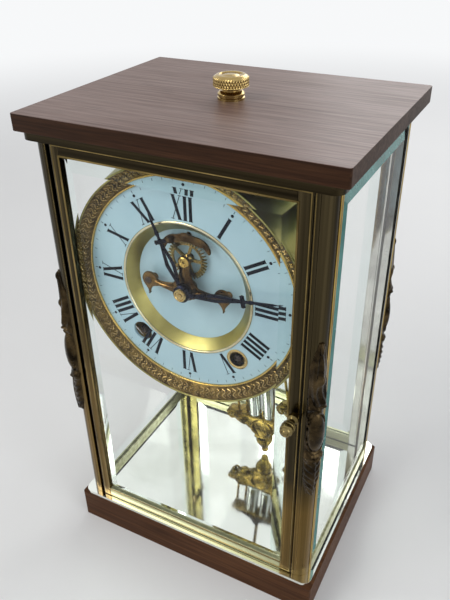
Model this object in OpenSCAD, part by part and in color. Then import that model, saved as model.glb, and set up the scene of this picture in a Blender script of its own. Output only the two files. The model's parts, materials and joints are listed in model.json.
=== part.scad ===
// Crystal regulator clock: a brass and glass case between a wooden base and top,
// an enamel dial with an open escapement, and a pendulum with two metal vials.
// Millimetres. X runs to the right, Y to the back, Z up; the origin is the
// middle of the underside. Depths called "fwd" are measured from Y = 0 towards
// the front, so a larger value lies nearer the front door.

/* [Wood] */
// How far the base board stands out past the posts at the sides
base_margin_x = 4.5; // [3:0.5:12]
// How far the base board stands out past the posts at the front and back
base_margin_y = 3.5; // [3:0.5:10]
// Height of the base board
base_h = 21; // [16:1:40]
// How far the top board stands out past the posts at the sides
top_margin_x = 6; // [3:0.5:14]
// How far the top board stands out past the posts at the front and back
top_margin_y = 4.5; // [3:0.5:12]
// Thickness of the top board
top_t = 8.5; // [6:0.5:14]
// Radius of the boards' upright edges
board_round = 1.5; // [0.5:0.5:4]

/* [Case frame] */
// Width over the corner posts
frame_w = 153; // [153:1:158]
// Depth over the corner posts
frame_d = 121; // [121:1:124]
// Height of the corner posts
frame_h = 238.6; // [236:0.2:250]
// Side of a corner post
post_size = 9; // [8.6:0.2:9.4]
// Width of the flat strip beside a post's round corner
post_strip = 2.5; // [2.3:0.1:2.8]
// Radius of a post's round corner
post_round = 6; // [5.6:0.1:6]
// How far the brass plates stand out past the posts
plate_margin = 3; // [2:0.5:4]
// Corner radius of the brass plates
plate_round = 5; // [2:0.5:8]
// Thickness of the base plate
plate_t = 2.4; // [2:0.2:5]
// Thickness of the roof plate
roof_t = 4; // [3.4:0.2:6]
// Width of a side rail
side_rail_w = 5.5; // [5.2:0.1:6.5]
// Height of a side rail
side_rail_h = 4; // [3:0.5:6]

/* [Doors] */
// Thickness of a door frame
door_t = 6; // [5.6:0.2:6.4]
// Width of a door stile
stile_w = 7; // [6.6:0.2:8]
// Height of a door rail
rail_h = 6.5; // [5:0.5:10]
// Side clearance between a door and its posts
door_gap = 0.3; // [0.3:0.1:0.6]
// Clearance over and under a door
door_gap_z = 0.5; // [0.3:0.1:1]
// Radius of a door's pivot pins
pivot_r = 1.2; // [0.8:0.1:1.6]
// Reach of a pivot pin into the door
pivot_reach = 6; // [3:0.5:12]
// Height of the turn knobs above the table
knob_z = 142; // [110:1:150]
// Radius of a turn knob
knob_r = 3.6; // [2.5:0.1:5]
// How far a turn knob stands out from its door
knob_reach = 12; // [8:0.5:16]
// Length of a latch tongue, from the knob's axis
tongue_len = 6.3; // [5.5:0.1:6.4]
// Width of a latch tongue
tongue_w = 3; // [2:0.2:4]
// Thickness of a latch tongue
tongue_t = 1.5; // [1:0.1:2]

/* [Glass] */
// Thickness of a pane
glass_t = 4; // [3.4:0.1:4.1]
// Thickness of a pane at its ground edge
glass_edge = 1.5; // [1:0.1:1.8]
// Width of the ground bevel
bevel_w = 8; // [4:0.5:12]
// Depth of the grooves that hold the panes
groove_d = 1.5; // [1:0.1:1.8]
// Face of a door pane behind the face of its door
glass_inset = 0.3; // [0.2:0.1:0.4]
// Face of a side pane behind the face of its posts
side_inset = 0.3; // [0.2:0.1:1]

/* [Top knob] */
// Radius of the collar under the knob
collar_r = 6.75; // [5.5:0.25:8]
// Height of the collar
collar_h = 4; // [2:0.5:6]
// Radius of the knob's neck
neck_r = 4.4; // [3.5:0.1:5.5]
// Height of the neck
neck_h = 1.8; // [1:0.2:4]
// Radius of the knob's knurled head
head_r = 8.8; // [7:0.1:11]
// Height of the knurled head
head_h = 5.9; // [4.5:0.1:9]
// Radius of the knob's screw
stud_r = 2; // [1.5:0.1:2.5]

/* [Ornaments] */
// Height of an ornament's lower tip above the table
ornament_z = 93.5; // [60:0.5:100]
// Height of an ornament
ornament_h = 96; // [80:1:120]
// How far an ornament's oval boss stands out from its post
ornament_out = 4.6; // [3:0.1:4.8]

/* [Dial] */
// Drop of the dial's centre below the roof plate
dial_drop = 69; // [68:0.5:72]
// Clearance between the bezel's rim and the front door
dial_clear = 1.1; // [0.9:0.1:1.5]
// Clearance between the hand nut and the front pane
nut_clear = 0.5; // [0.3:0.1:0.8]
// Radius of the dial's bezel
bezel_r = 64.6; // [63.8:0.1:65]
// How far the bezel's rim stands before the dial
bezel_dish = 4.4; // [4:0.1:4.6]
// Depth of the bezel's drum
drum_depth = 20; // [14:0.5:20]
// Wall of the bezel's drum
drum_wall = 1; // [0.8:0.1:1.4]
// Radius of the white that shows inside the bezel
chapter_r = 56.4; // [54:0.1:57]
// Thickness of the enamel ring
chapter_t = 1.5; // [1:0.1:2]
// Radius of the well's bright rim
well_r = 36.2; // [35:0.1:38]
// Radius of the well's floor
floor_r = 30.6; // [30:0.1:31.4]
// Depth of the well
well_d = 5.2; // [4.8:0.1:5.4]
// Thickness of the well's wall and floor
well_t = 1.1; // [0.8:0.1:1.3]
// Sideways place of the winding holes
wind_x = 28.4; // [27.6:0.1:29]
// Drop of the winding holes below the dial's centre
wind_drop = 33.1; // [32.4:0.1:33.6]
// Radius of the eyelet's bore in the right winding hole
wind_hole_r = 4.2; // [3.6:0.1:5]
// Radius of the bare winding hole on the left
plain_hole_r = 5.6; // [4:0.1:6]
// Outer radius of the eyelet in the right winding hole
eyelet_r = 5.8; // [5.4:0.1:7]

/* [Hands] */
// Length of the minute hand
minute_len = 53; // [45:1:54]
// Length of the hour hand
hour_len = 43; // [34:1:46]
// Minutes past eleven that the hands show
shown_minutes = 13.5; // [0:0.5:59.5]
// Thickness of a hand
hand_t = 0.8; // [0.5:0.1:0.9]
// Radius of a hand's boss
hand_boss_r = 4.4; // [4:0.1:6]

/* [Movement] */
// Half the width of the movement plates
frame_half = 48; // [47:0.5:50]
// Thickness of a movement plate
mplate_t = 2; // [1.5:0.1:2.4]
// Distance from the front movement plate to the dial's face
dial_stand = 16; // [15.8:0.1:16.6]
// Distance from the back movement plate's face to the front plate's
movement_depth = 30; // [29.8:0.1:31]
// Radius of a movement pillar
pillar_r = 3; // [2:0.1:3.4]
// Radius of the train's arbors
arbor_r = 0.7; // [0.5:0.05:0.75]
// Radius of the winding arbors
wind_arbor_r = 2.5; // [2.2:0.1:3]
// Radius of the mainspring barrels
drum_r = 14.5; // [10:0.5:14.5]
// Thickness of the train's wheels
wheel_t = 1.2; // [0.8:0.1:1.4]
// Rise of the escape arbor above the dial's centre
escape_up = 16; // [15.8:0.1:16.4]
// Rise of the pallet arbor above the escape arbor
pallet_up = 12.2; // [12:0.1:12.6]
// Radius of the escape wheel
escape_r = 10.8; // [10:0.1:11]
// Sideways place of the escape bridge's feet
bridge_x = 21.3; // [19:0.1:23]

/* [Pendulum] */
// Distance of the pendulum behind the back movement plate's face
pendulum_gap = 25; // [22:0.5:28]
// Swing of the pendulum to the right, as it hangs here
swing_deg = 4.2; // [0:0.1:4.5]
// Height of the rating nut
rating_h = 14; // [12:0.1:18]
// Height of a vial
vial_h = 28; // [24:1:40]
// Radius of a vial
vial_r = 4.75; // [4:0.05:5]
// Half the distance between the vials
vial_x = 5.3; // [5.15:0.05:6.5]
// Radius of the pendulum rod
rod_r = 1.2; // [0.9:0.1:1.4]
// Gap between the hanging pendulum and the base plate
pendulum_rise = 1.8; // [1.3:0.1:8]

/* [Gong] */
// Radius of the gong's wire
wire_r = 1; // [0.7:0.1:1.1]
// Radius of the gong's first turn
coil_r = 10; // [10:0.5:11]
// Step from turn to turn
coil_step = 4; // [3.8:0.1:4.4]
// Turns of the gong
coil_turns = 4; // [3:1:4]
// Height of the gong's centre below the dial's centre
gong_drop = 26; // [22:1:30]

/* [Hidden] */
$fn = 96;

// Clearances
seat = 0.02;
run_fit = 0.05;
clear = 0.3;

// Case levels and half sizes
base_w = frame_w + 2 * base_margin_x;
base_d = frame_d + 2 * base_margin_y;
top_w = frame_w + 2 * top_margin_x;
top_d = frame_d + 2 * top_margin_y;
z_frame = base_h + plate_t;
z_roof = z_frame + frame_h;
z_top = z_roof + roof_t;
dial_z = z_roof - dial_drop;
z_head = z_top + top_t;
frame_x = frame_w / 2;
frame_y = frame_d / 2;
post_in_x = frame_x - post_size;
post_in_y = frame_y - post_size;
screw_r = 2;
screw_head_r = 3.5;
screw_head_h = 2.2;
screw_bite = 12;
counterbore_h = 8;
screw_in = post_strip + 1.8;
screw_x = post_in_x + screw_in;
screw_y = post_in_y + screw_in;

// Doors
door_x = post_in_x - door_gap;
open_x = door_x - stile_w;
door_z = z_frame + door_gap_z;
door_h = frame_h - 2 * door_gap_z;
pivot_x = door_x - door_t / 2;
pivot_y = frame_y - door_t / 2;
knob_x = (open_x + door_x) / 2;
knob_shaft_r = 1.5;
pane_front = frame_y - glass_inset;
pane_back = pane_front - glass_t;
groove_front = pane_back + glass_edge + run_fit;
groove_back = pane_back - run_fit;
side_pane_in = frame_x - side_inset - glass_t;
tongue_front = post_in_y - clear;

// Dial, in distances towards the front
dial_fwd = frame_y - door_t - dial_clear - bezel_dish;
mfront_fwd = dial_fwd - dial_stand;
mback_fwd = mfront_fwd - movement_depth;
pendulum_y = pendulum_gap - mback_fwd;
chapter_back = dial_fwd - chapter_t;
floor_fwd = dial_fwd - well_d;
floor_back = floor_fwd - well_t;
rim_lip = 0.5;
eyelet_wall = 0.6;
drum_back = dial_fwd + bezel_dish - drum_depth;
minute_deg = -6 * shown_minutes;
hour_deg = 30 - shown_minutes / 2;
bridge_rise = 4.6;
bridge_back = floor_fwd + bridge_rise;
bridge_t = 1.6;
hour_hand_back = dial_fwd + 2.6;
minute_hand_back = hour_hand_back + hand_t + 1;
nut_h = pane_back - nut_clear - minute_hand_back - hand_t;
nut_r = 3.3;
minute_blade = 1.9;
hour_blade = 2.6;
hand_arbor_r = 1;
cannon_pipe_r = 2;
hour_pipe_r = 3;
minute_stud_r = 1.2;

// Movement depths
mfront_back = mfront_fwd - mplate_t;
mback_back = mback_fwd - mplate_t;
escape_plane = floor_fwd + 2.2;
third_plane = mfront_back - 3;
centre_plane = mfront_back - 10.5;
great_plane = mfront_back - 17;
second_plane = mfront_back - 23.5;

pallet_arbor_r = 1;
escape_hole_r = 2.6;
hammer_arbor_r = 1;

// Wheel and pinion counts
great_teeth = 48;
second_pins = 8;
second_teeth = 72;
centre_pins = 10;
centre_teeth = 78;
third_pins = 6;
third_teeth = 60;
escape_pins = 6;
escape_teeth = 36;
cannon_leaves = 12;
minute_teeth = 36;
minute_leaves = 10;
hour_teeth = 40;
strike_pins = 8;
strike_teeth = 48;

// Modules: pitch diameter over teeth
great_mod = 0.9;
second_mod = 0.6;
train_mod = 0.55;
motion_dist = 12.5;
cannon_mod = 2 * motion_dist / (cannon_leaves + minute_teeth);
hour_mod = 2 * motion_dist / (minute_leaves + hour_teeth);

// Arbor places, seen from the front: X, and height above the dial's centre
time_at = [wind_x, -wind_drop];
strike_at = [-wind_x, -wind_drop];
centre_at = [0, 0];
escape_at = [0, escape_up];
pallet_at = [0, escape_up + pallet_up];
minute_at = [0, -motion_dist];
second_at = meet(time_at, pair(great_mod, great_teeth, second_pins),
                 centre_at, pair(second_mod, second_teeth, centre_pins), -1);
third_at = meet(centre_at, pair(train_mod, centre_teeth, third_pins),
                escape_at, pair(train_mod, third_teeth, escape_pins), -1);
strike_wheel_at = [-second_at[0], second_at[1]];
hammer_at = [-40, 2];
pallet_z = dial_z + pallet_at[1];
gong_at = [-4, -gong_drop];

// Distance of a meshing pair
function pair(m, a, b) = m * (a + b) / 2;
// Where circles about p and q cross, on one side of the line from p to q
function meet(p, rp, q, rq, side) =
  let (d = norm(q - p), u = (q - p) / d, a = (rp * rp - rq * rq + d * d) / (2 * d),
       h = sqrt(rp * rp - a * a))
  p + a * u + side * h * [-u[1], u[0]];
// Direction from p to q
function heading(p, q) = atan2(q[1] - p[1], q[0] - p[0]);

// Extrudes a front-view outline between two distances towards the front
module plate(back, front, at = [0, 0]) {
  translate([at[0], -back, dial_z + at[1]]) rotate([90, 0, 0]) linear_extrude(front - back) children();
}
// Turns an outline of radius and distance towards the front
module turned(at = [0, 0]) {
  translate([at[0], 0, dial_z + at[1]]) rotate([90, 0, 0]) rotate_extrude() children();
}
module rod(back, front, r, at = [0, 0]) {
  translate([at[0], -back, dial_z + at[1]]) rotate([90, 0, 0]) cylinder(h = front - back, r = r);
}
module bar_x(len) {
  translate([-len / 2, 0, 0]) rotate([90, 0, 90]) linear_extrude(len) children();
}
module bar_y(len) {
  translate([0, len / 2, 0]) rotate([90, 0, 0]) linear_extrude(len) children();
}
module round_board(w, d, h, r) {
  linear_extrude(h) {
    square([w - 2 * r, d], center = true);
    square([w, d - 2 * r], center = true);
    for (x = [-1, 1], y = [-1, 1]) translate([x * (w / 2 - r), y * (d / 2 - r)]) circle(r);
  }
}
module at_corners(x, y) {
  for (i = [-1, 1], j = [-1, 1]) translate([i * x, j * y, 0]) children();
}
module at_pivots() {
  for (turn = [0, 180]) rotate(turn) translate([-pivot_x, -pivot_y, 0]) children();
}

// Wheel outline with straight-sided teeth, a gap centred on the heading "gap_deg"
module wheel_2d(teeth, m, gap_deg) {
  pitch = 360 / teeth;
  root = m * (teeth / 2 - 1.25);
  tip = m * (teeth / 2 + 0.8);
  start = gap_deg + pitch / 2;
  polygon([for (i = [0:teeth - 1], k = [[root, -0.27], [tip, -0.09], [tip, 0.09], [root, 0.27]])
    let (a = start + (i + k[1]) * pitch) k[0] * [cos(a), sin(a)]]);
}
// Pinion outline with narrow leaves, a leaf centred on the heading "leaf_deg"
module pinion_2d(leaves, m, leaf_deg) {
  pitch = 360 / leaves;
  root = m * (leaves / 2 - 1.25);
  tip = m * (leaves / 2 + 0.6);
  polygon([for (i = [0:leaves - 1], k = [[root, -0.2], [tip, -0.1], [tip, 0.1], [root, 0.2]])
    let (a = leaf_deg + (i + k[1]) * pitch) k[0] * [cos(a), sin(a)]]);
}
// Openings between a wheel's spokes
module spoke_gaps_2d(inner, outer, spokes, spoke_w) {
  difference() {
    circle(outer);
    circle(inner);
    for (i = [0:spokes - 1]) rotate(i * 360 / spokes)
      translate([0, -spoke_w / 2]) square([outer + 1, spoke_w]);
  }
}
module spoked_wheel(at, middle, teeth, m, gap_deg, hole_r) {
  rim_in = m * (teeth / 2 - 1.25) - 1.6;
  plate(middle - wheel_t / 2, middle + wheel_t / 2, at) difference() {
    wheel_2d(teeth, m, gap_deg);
    spoke_gaps_2d(3.4, rim_in, 4, 1.8);
    circle(hole_r);
  }
}
// Lantern pinion: round pins between two discs, a pin on the heading "pin_deg"
module lantern(at, middle, pins, m, pin_deg) {
  pin_r = 0.5 * m;
  ring_r = m * pins / 2;
  half = 1.6;
  disc_t = 0.6;
  for (side = [-half - disc_t, half]) rod(middle + side, middle + side + disc_t, ring_r + 2 * pin_r, at);
  for (i = [0:pins - 1]) {
    a = pin_deg + i * 360 / pins;
    rod(middle - half - disc_t / 2, middle + half + disc_t / 2, pin_r, at + ring_r * [cos(a), sin(a)]);
  }
}

// Wooden base with counterbored screw holes
module base_board() {
  color("saddlebrown") difference() {
    round_board(base_w, base_d, base_h, board_round);
    at_corners(screw_x, screw_y) {
      translate([0, 0, -1]) cylinder(h = base_h + 2, r = screw_r + run_fit);
      translate([0, 0, -1]) cylinder(h = counterbore_h + 1, r = screw_head_r + clear);
    }
  }
}
module base_plate() {
  color("khaki") difference() {
    translate([0, 0, base_h])
      round_board(frame_w + 2 * plate_margin, frame_d + 2 * plate_margin, plate_t, plate_round);
    translate([0, 0, base_h - 1]) at_corners(screw_x, screw_y)
      cylinder(h = plate_t + 2, r = screw_r + run_fit);
    translate([0, 0, base_h - 1]) at_pivots() cylinder(h = plate_t + 2, r = pivot_r + seat);
  }
}
// Screws that draw the posts onto the base and the roof
module case_screws() {
  color("darkgoldenrod") at_corners(screw_x, screw_y) {
    translate([0, 0, counterbore_h - screw_head_h]) cylinder(h = screw_head_h, r = screw_head_r);
    translate([0, 0, counterbore_h]) cylinder(h = z_frame + screw_bite - counterbore_h, r = screw_r);
    translate([0, 0, z_top - screw_head_h]) cylinder(h = screw_head_h, r = screw_head_r);
    translate([0, 0, z_roof - screw_bite]) cylinder(h = screw_bite + roof_t - screw_head_h, r = screw_r);
  }
}
// Post section in the rear right corner: two flat strips and a round between them
module post_outline() {
  translate([post_in_x, post_in_y]) {
    square([post_strip, post_size]);
    square([post_size, post_strip]);
    translate([post_strip, post_strip]) intersection() {
      circle(post_round);
      square(post_round);
    }
  }
}
module post() {
  difference() {
    translate([0, 0, z_frame]) linear_extrude(frame_h) difference() {
      post_outline();
      translate([side_pane_in - run_fit, post_in_y - 1])
        square([glass_edge + 2 * run_fit, groove_d + 1 + run_fit]);
    }
    for (z = [z_frame - 1, z_roof - screw_bite])
      translate([screw_x, screw_y, z]) cylinder(h = screw_bite + 1, r = screw_r + run_fit);
  }
}
module at_corner(right, rear) {
  mirror([right ? 0 : 1, 0, 0]) mirror([0, rear ? 0 : 1, 0]) children();
}
module post_front_left() { color("olive") at_corner(false, false) post(); }
module post_front_right() { color("olive") at_corner(true, false) post(); }
module post_rear_left() { color("olive") at_corner(false, true) post(); }
module post_rear_right() { color("olive") at_corner(true, true) post(); }
// Grooved rails that hold the side panes at the bottom and the top
module side_rails() {
  groove_x = side_pane_in - run_fit;
  color("goldenrod") for (side = [0, 1], level = [0, 1]) mirror([side, 0, 0])
    translate([0, 0, level * (z_frame + z_roof)]) mirror([0, 0, level]) bar_y(2 * post_in_y) difference() {
      translate([frame_x - side_inset - side_rail_w, z_frame]) square([side_rail_w, side_rail_h]);
      translate([groove_x, z_frame + side_rail_h - groove_d - run_fit])
        square([glass_edge + 2 * run_fit, groove_d + 1]);
    }
}
module roof_plate() {
  color("olive") difference() {
    translate([0, 0, z_roof])
      round_board(frame_w + 2 * plate_margin, frame_d + 2 * plate_margin, roof_t, plate_round);
    translate([0, 0, z_roof - 1]) at_corners(screw_x, screw_y)
      cylinder(h = roof_t + 2, r = screw_r + run_fit);
    translate([0, 0, z_top - screw_head_h]) at_corners(screw_x, screw_y)
      cylinder(h = screw_head_h + 1, r = screw_head_r + clear);
    translate([0, 0, z_roof - 1]) at_pivots() cylinder(h = roof_t + 2, r = pivot_r + seat);
    translate([0, 0, z_roof - 1]) cylinder(h = roof_t + 2, r = stud_r + run_fit);
  }
}
module top_board() {
  color("sienna") difference() {
    translate([0, 0, z_top]) round_board(top_w, top_d, top_t, board_round);
    translate([0, 0, z_top - 1]) cylinder(h = top_t + 2, r = stud_r + run_fit);
  }
}
module top_collar() {
  lip = collar_h / 4;
  color("gold") translate([0, 0, z_head]) rotate_extrude() polygon([
    [stud_r + run_fit, 0], [collar_r, 0], [collar_r, collar_h - lip], [collar_r - lip, collar_h],
    [stud_r + run_fit, collar_h]]);
}
// Knurled knob and its screw, which holds the top board down on the roof plate
module top_knob() {
  z_neck = z_head + collar_h;
  z_knurl = z_neck + neck_h;
  z_rim = z_knurl + head_h;
  slope = head_h / 4;
  color("gold") rotate_extrude() polygon([
    [0, z_roof], [stud_r, z_roof], [stud_r, z_neck], [neck_r, z_neck], [neck_r, z_knurl],
    [head_r - slope / 2, z_knurl], [head_r, z_knurl + slope / 2], [head_r, z_rim - slope],
    [head_r - slope, z_rim], [head_r - 2 * slope, z_rim], [head_r - 2.4 * slope, z_rim - slope / 4],
    [0, z_rim - slope / 4]]);
}
// Pane with a ground bevel on its front and a flat edge in the groove; its back lies on Y = 0
module pane(w, h) {
  intersection() {
    linear_extrude(h) polygon(pane_section(w));
    translate([0, 0, h / 2]) bar_x(w + 1) rotate(90) polygon(pane_section(h) * [[1, 0], [0, -1]]);
  }
}
function pane_section(w) = [
  [-w / 2, 0], [w / 2, 0], [w / 2, -glass_edge], [w / 2 - groove_d, -glass_edge],
  [w / 2 - bevel_w, -glass_t], [-w / 2 + bevel_w, -glass_t], [-w / 2 + groove_d, -glass_edge],
  [-w / 2, -glass_edge]];
module side_pane() {
  low = z_frame + side_rail_h - groove_d;
  translate([side_pane_in, 0, low]) rotate(90)
    pane(2 * (post_in_y + groove_d), z_roof - low - side_rail_h + groove_d);
}
module side_glass_left() { color("lightblue", 0.4) rotate(180) side_pane(); }
module side_glass_right() { color("lightblue", 0.4) side_pane(); }
// Cast corner ornament: tip, leaf, bead ring, oval boss, moulding, scroll and bud
module ornament() {
  h = ornament_h;
  boss = post_round + ornament_out;
  base_r = post_round - 0.6;
  outline = concat(
    [[base_r, 0], [post_round + 1, 0], [post_round + 2.6, 0.11 * h], [post_round + 1.6, 0.24 * h],
     [post_round + 3, 0.25 * h], [post_round + 3.2, 0.28 * h], [post_round + 2.2, 0.31 * h]],
    [for (i = [0:8]) let (a = 180 * i / 8) [boss - 2.4 + 2.4 * sin(a), (0.32 + 0.26 * i / 8) * h]],
    [[post_round + 3.2, 0.59 * h], [post_round + 3.2, 0.61 * h], [post_round + 2, 0.63 * h],
     [post_round + 3, 0.74 * h], [post_round + 1.4, 0.86 * h], [post_round + 1, 0.93 * h],
     [post_round + 2, 0.96 * h], [post_round + 0.8, h], [base_r, h]]);
  difference() {
    translate([post_in_x + post_strip, post_in_y + post_strip, ornament_z])
      rotate(-4) rotate_extrude(angle = 98) polygon(outline);
    translate([0, 0, ornament_z - 1]) linear_extrude(h + 2) post_outline();
  }
}
module corner_ornaments() {
  color("peru") for (right = [false, true], rear = [false, true]) at_corner(right, rear) ornament();
}
// Pins in the base and roof plates on which the doors turn
module door_pivots() {
  color("goldenrod") {
    translate([0, 0, base_h]) at_pivots() cylinder(h = plate_t + door_gap_z + pivot_reach, r = pivot_r);
    translate([0, 0, z_roof - door_gap_z - pivot_reach]) at_pivots()
      cylinder(h = roof_t + door_gap_z + pivot_reach, r = pivot_r);
  }
}
module as_rear() { rotate(180) children(); }
module pane_groove(w) {
  translate([0, -groove_front]) square([w, groove_front - groove_back]);
}
module hinge_stile() {
  difference() {
    translate([0, 0, door_z]) linear_extrude(door_h) difference() {
      union() {
        translate([-pivot_x, -pivot_y]) circle(door_t / 2);
        translate([-pivot_x, -frame_y]) square([pivot_x - open_x, door_t]);
      }
      translate([-open_x - groove_d - run_fit, 0]) pane_groove(groove_d + 1);
    }
    for (z = [door_z - 1, door_z + door_h - pivot_reach - clear])
      translate([-pivot_x, -pivot_y, z]) cylinder(h = pivot_reach + clear + 1, r = pivot_r + run_fit);
  }
}
module lock_stile() {
  difference() {
    translate([0, 0, door_z]) linear_extrude(door_h) difference() {
      translate([open_x, -frame_y]) square([stile_w, door_t]);
      translate([open_x - 1, 0]) pane_groove(groove_d + 1 + run_fit);
    }
    translate([knob_x, -frame_y + door_t + 1, knob_z]) rotate([90, 0, 0])
      cylinder(h = door_t + 2, r = knob_shaft_r + run_fit);
  }
}
module door_rails() {
  for (level = [0, 1]) translate([0, 0, level * (z_frame + z_roof)]) mirror([0, 0, level])
    bar_x(2 * open_x) difference() {
      translate([-frame_y, door_z]) square([door_t, rail_h]);
      translate([-groove_front, door_z + rail_h - groove_d - run_fit])
        square([groove_front - groove_back, groove_d + 1]);
    }
}
module door_glass() {
  low = door_z + rail_h - groove_d;
  translate([0, -pane_back, low])
    pane(2 * (open_x + groove_d), z_roof - door_gap_z - rail_h + groove_d - low);
}
// Turned knob, its shaft through the stile, and the tongue that turns behind the post
module turn_knob() {
  reach = frame_y + knob_reach;
  color("gold") translate([knob_x, 0, knob_z]) {
    rotate([90, 0, 0]) rotate_extrude() polygon([
      [0, tongue_front - tongue_t], [knob_shaft_r, tongue_front - tongue_t], [knob_shaft_r, frame_y],
      [knob_r * 0.8, frame_y], [knob_r * 0.8, frame_y + 0.1 * knob_reach],
      [knob_r * 0.45, frame_y + 0.2 * knob_reach], [knob_r * 0.45, frame_y + 0.4 * knob_reach],
      [knob_r * 0.9, frame_y + 0.5 * knob_reach], [knob_r, frame_y + 0.6 * knob_reach],
      [knob_r, reach - 0.15 * knob_reach], [knob_r * 0.75, reach - 0.04 * knob_reach],
      [knob_r * 0.3, reach], [0, reach]]);
    translate([0, -tongue_front, 0]) rotate([-90, 0, 0]) linear_extrude(tongue_t) {
      circle(tongue_w * 0.8);
      translate([-tongue_w / 2, 0]) square([tongue_w, tongue_len]);
    }
  }
}
module front_hinge_stile() { color("olive") hinge_stile(); }
module front_lock_stile() { color("olive") lock_stile(); }
module front_rails() { color("olive") door_rails(); }
module front_glass() { color("lightblue", 0.4) door_glass(); }
module front_knob() { turn_knob(); }
module rear_hinge_stile() { color("olive") as_rear() hinge_stile(); }
module rear_lock_stile() { color("olive") as_rear() lock_stile(); }
module rear_rails() { color("olive") as_rear() door_rails(); }
module rear_glass() { color("lightblue", 0.4) as_rear() door_glass(); }
module rear_knob() { as_rear() turn_knob(); }

// Movement plates, pillars and hangers
pillar_places = [[-30, 33], [30, 33], [-6, -50], [6, -50]];
mplate_top = 38;
mplate_low = 54;
module mplate_2d() {
  cut = 12;
  polygon([[-frame_half + cut, mplate_top], [frame_half - cut, mplate_top], [frame_half, mplate_top - cut],
    [frame_half, cut - mplate_low], [frame_half - cut, -mplate_low], [cut - frame_half, -mplate_low],
    [-frame_half, cut - mplate_low], [-frame_half, mplate_top - cut]]);
}
module arbor_hole(at, r) { translate(at) circle(r + run_fit); }
// Front plate with the minute wheel's stud and the bracket behind the escape pinion
module movement_front_plate() {
  bracket_fwd = third_plane - 2.6;
  bracket_t = 1.4;
  bracket_w = 4;
  bracket_x = -7;
  color("goldenrod") {
    plate(mfront_back, mfront_fwd) difference() {
      mplate_2d();
      arbor_hole(centre_at, hand_arbor_r);
      arbor_hole(third_at, arbor_r);
      arbor_hole(second_at, arbor_r);
      arbor_hole(pallet_at, pallet_arbor_r);
      arbor_hole(strike_wheel_at, arbor_r);
      arbor_hole(hammer_at, hammer_arbor_r);
      arbor_hole(escape_at, 3);
      for (at = [time_at, strike_at]) arbor_hole(at, wind_arbor_r);
      for (at = pillar_places) translate(at) circle(pillar_r / 2 + seat);
    }
    rod(mfront_fwd, mfront_fwd + 7, minute_stud_r, minute_at);
    plate(bracket_fwd - bracket_t, bracket_fwd, escape_at) difference() {
      translate([bracket_x, -bracket_w / 2]) square([bracket_w / 2 - bracket_x, bracket_w]);
      circle(arbor_r + run_fit);
    }
    plate(bracket_fwd, mfront_back, escape_at)
      translate([bracket_x, -bracket_w / 2]) square([bracket_w / 2, bracket_w]);
  }
}
module movement_back_plate() {
  color("goldenrod") plate(mback_back, mback_fwd) difference() {
    mplate_2d();
    for (at = [centre_at, third_at, second_at, strike_wheel_at]) arbor_hole(at, arbor_r);
    arbor_hole(pallet_at, pallet_arbor_r);
    arbor_hole(hammer_at, hammer_arbor_r);
    for (at = [time_at, strike_at]) arbor_hole(at, wind_arbor_r);
    for (at = pillar_places) translate(at) circle(pillar_r / 2 + seat);
  }
}
// Pillars with shouldered ends riveted into both plates
module movement_pillars() {
  color("gold") for (at = pillar_places) {
    rod(mback_fwd, mfront_back, pillar_r, at);
    rod(mback_back, mfront_fwd, pillar_r / 2, at);
  }
}
// Cheeks between the plates that hang the movement from the roof plate
module movement_hangers() {
  cheek_x = 36;
  cheek_t = 2.5;
  foot = 8;
  low = dial_z + mplate_top - 10;
  depth = mfront_back - mback_fwd;
  color("gold") for (side = [0, 1]) mirror([side, 0, 0]) {
    translate([cheek_x, -mfront_back, low]) cube([cheek_t, depth, z_roof - low]);
    translate([cheek_x - foot, -mfront_back, z_roof - cheek_t]) cube([foot, depth, cheek_t]);
  }
}

// Dial: enamel ring, brass well, enamel floor and dished bezel with its drum
module dial_ring() {
  color("white") plate(chapter_back, dial_fwd) difference() {
    circle(chapter_r + 1.2);
    circle(well_r + 0.1);
    translate(strike_at) circle(plain_hole_r);
    translate(time_at) circle(wind_hole_r + eyelet_wall);
  }
}
module dial_well() {
  color("goldenrod") turned() polygon([
    [floor_r, floor_fwd], [well_r - rim_lip, dial_fwd + rim_lip], [well_r + 1, dial_fwd + rim_lip],
    [well_r + 1, dial_fwd], [well_r - seat, dial_fwd], [floor_r + well_t, floor_fwd]]);
}
module dial_centre() {
  color("white") plate(floor_back, floor_fwd) difference() {
    circle(floor_r + well_t);
    circle(hour_pipe_r + 2 * clear);
    translate(escape_at) circle(escape_hole_r);
    translate(pallet_at) circle(pallet_arbor_r + 2 * clear);
  }
}
module dial_bezel() {
  rim_fwd = dial_fwd + bezel_dish;
  inner = bezel_r - drum_wall;
  color("darkgoldenrod") turned() polygon([
    [chapter_r - 0.2, dial_fwd], [chapter_r - 0.2, dial_fwd + 0.6], [chapter_r + 0.8, dial_fwd + 1],
    [bezel_r - 1, rim_fwd - 0.4], [bezel_r - 0.6, rim_fwd], [bezel_r, rim_fwd], [bezel_r, drum_back],
    [inner, drum_back], [inner, rim_fwd - 1.8], [chapter_r + 1.5, dial_fwd]]);
}
// Posts that carry the dial on the front plate
module dial_feet() {
  foot_r = 46;
  color("goldenrod") for (a = [30, 150, 270])
    rod(mfront_fwd, chapter_back, 2, foot_r * [cos(a), sin(a)]);
}
module winding_eyelet() {
  color("gold") turned(time_at) polygon([
    [wind_hole_r, chapter_back], [wind_hole_r + eyelet_wall - seat, chapter_back],
    [wind_hole_r + eyelet_wall - seat, dial_fwd], [eyelet_r, dial_fwd], [eyelet_r, dial_fwd + 0.3],
    [eyelet_r - 0.7, dial_fwd + 0.7], [wind_hole_r, dial_fwd + 0.3]]);
}

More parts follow.
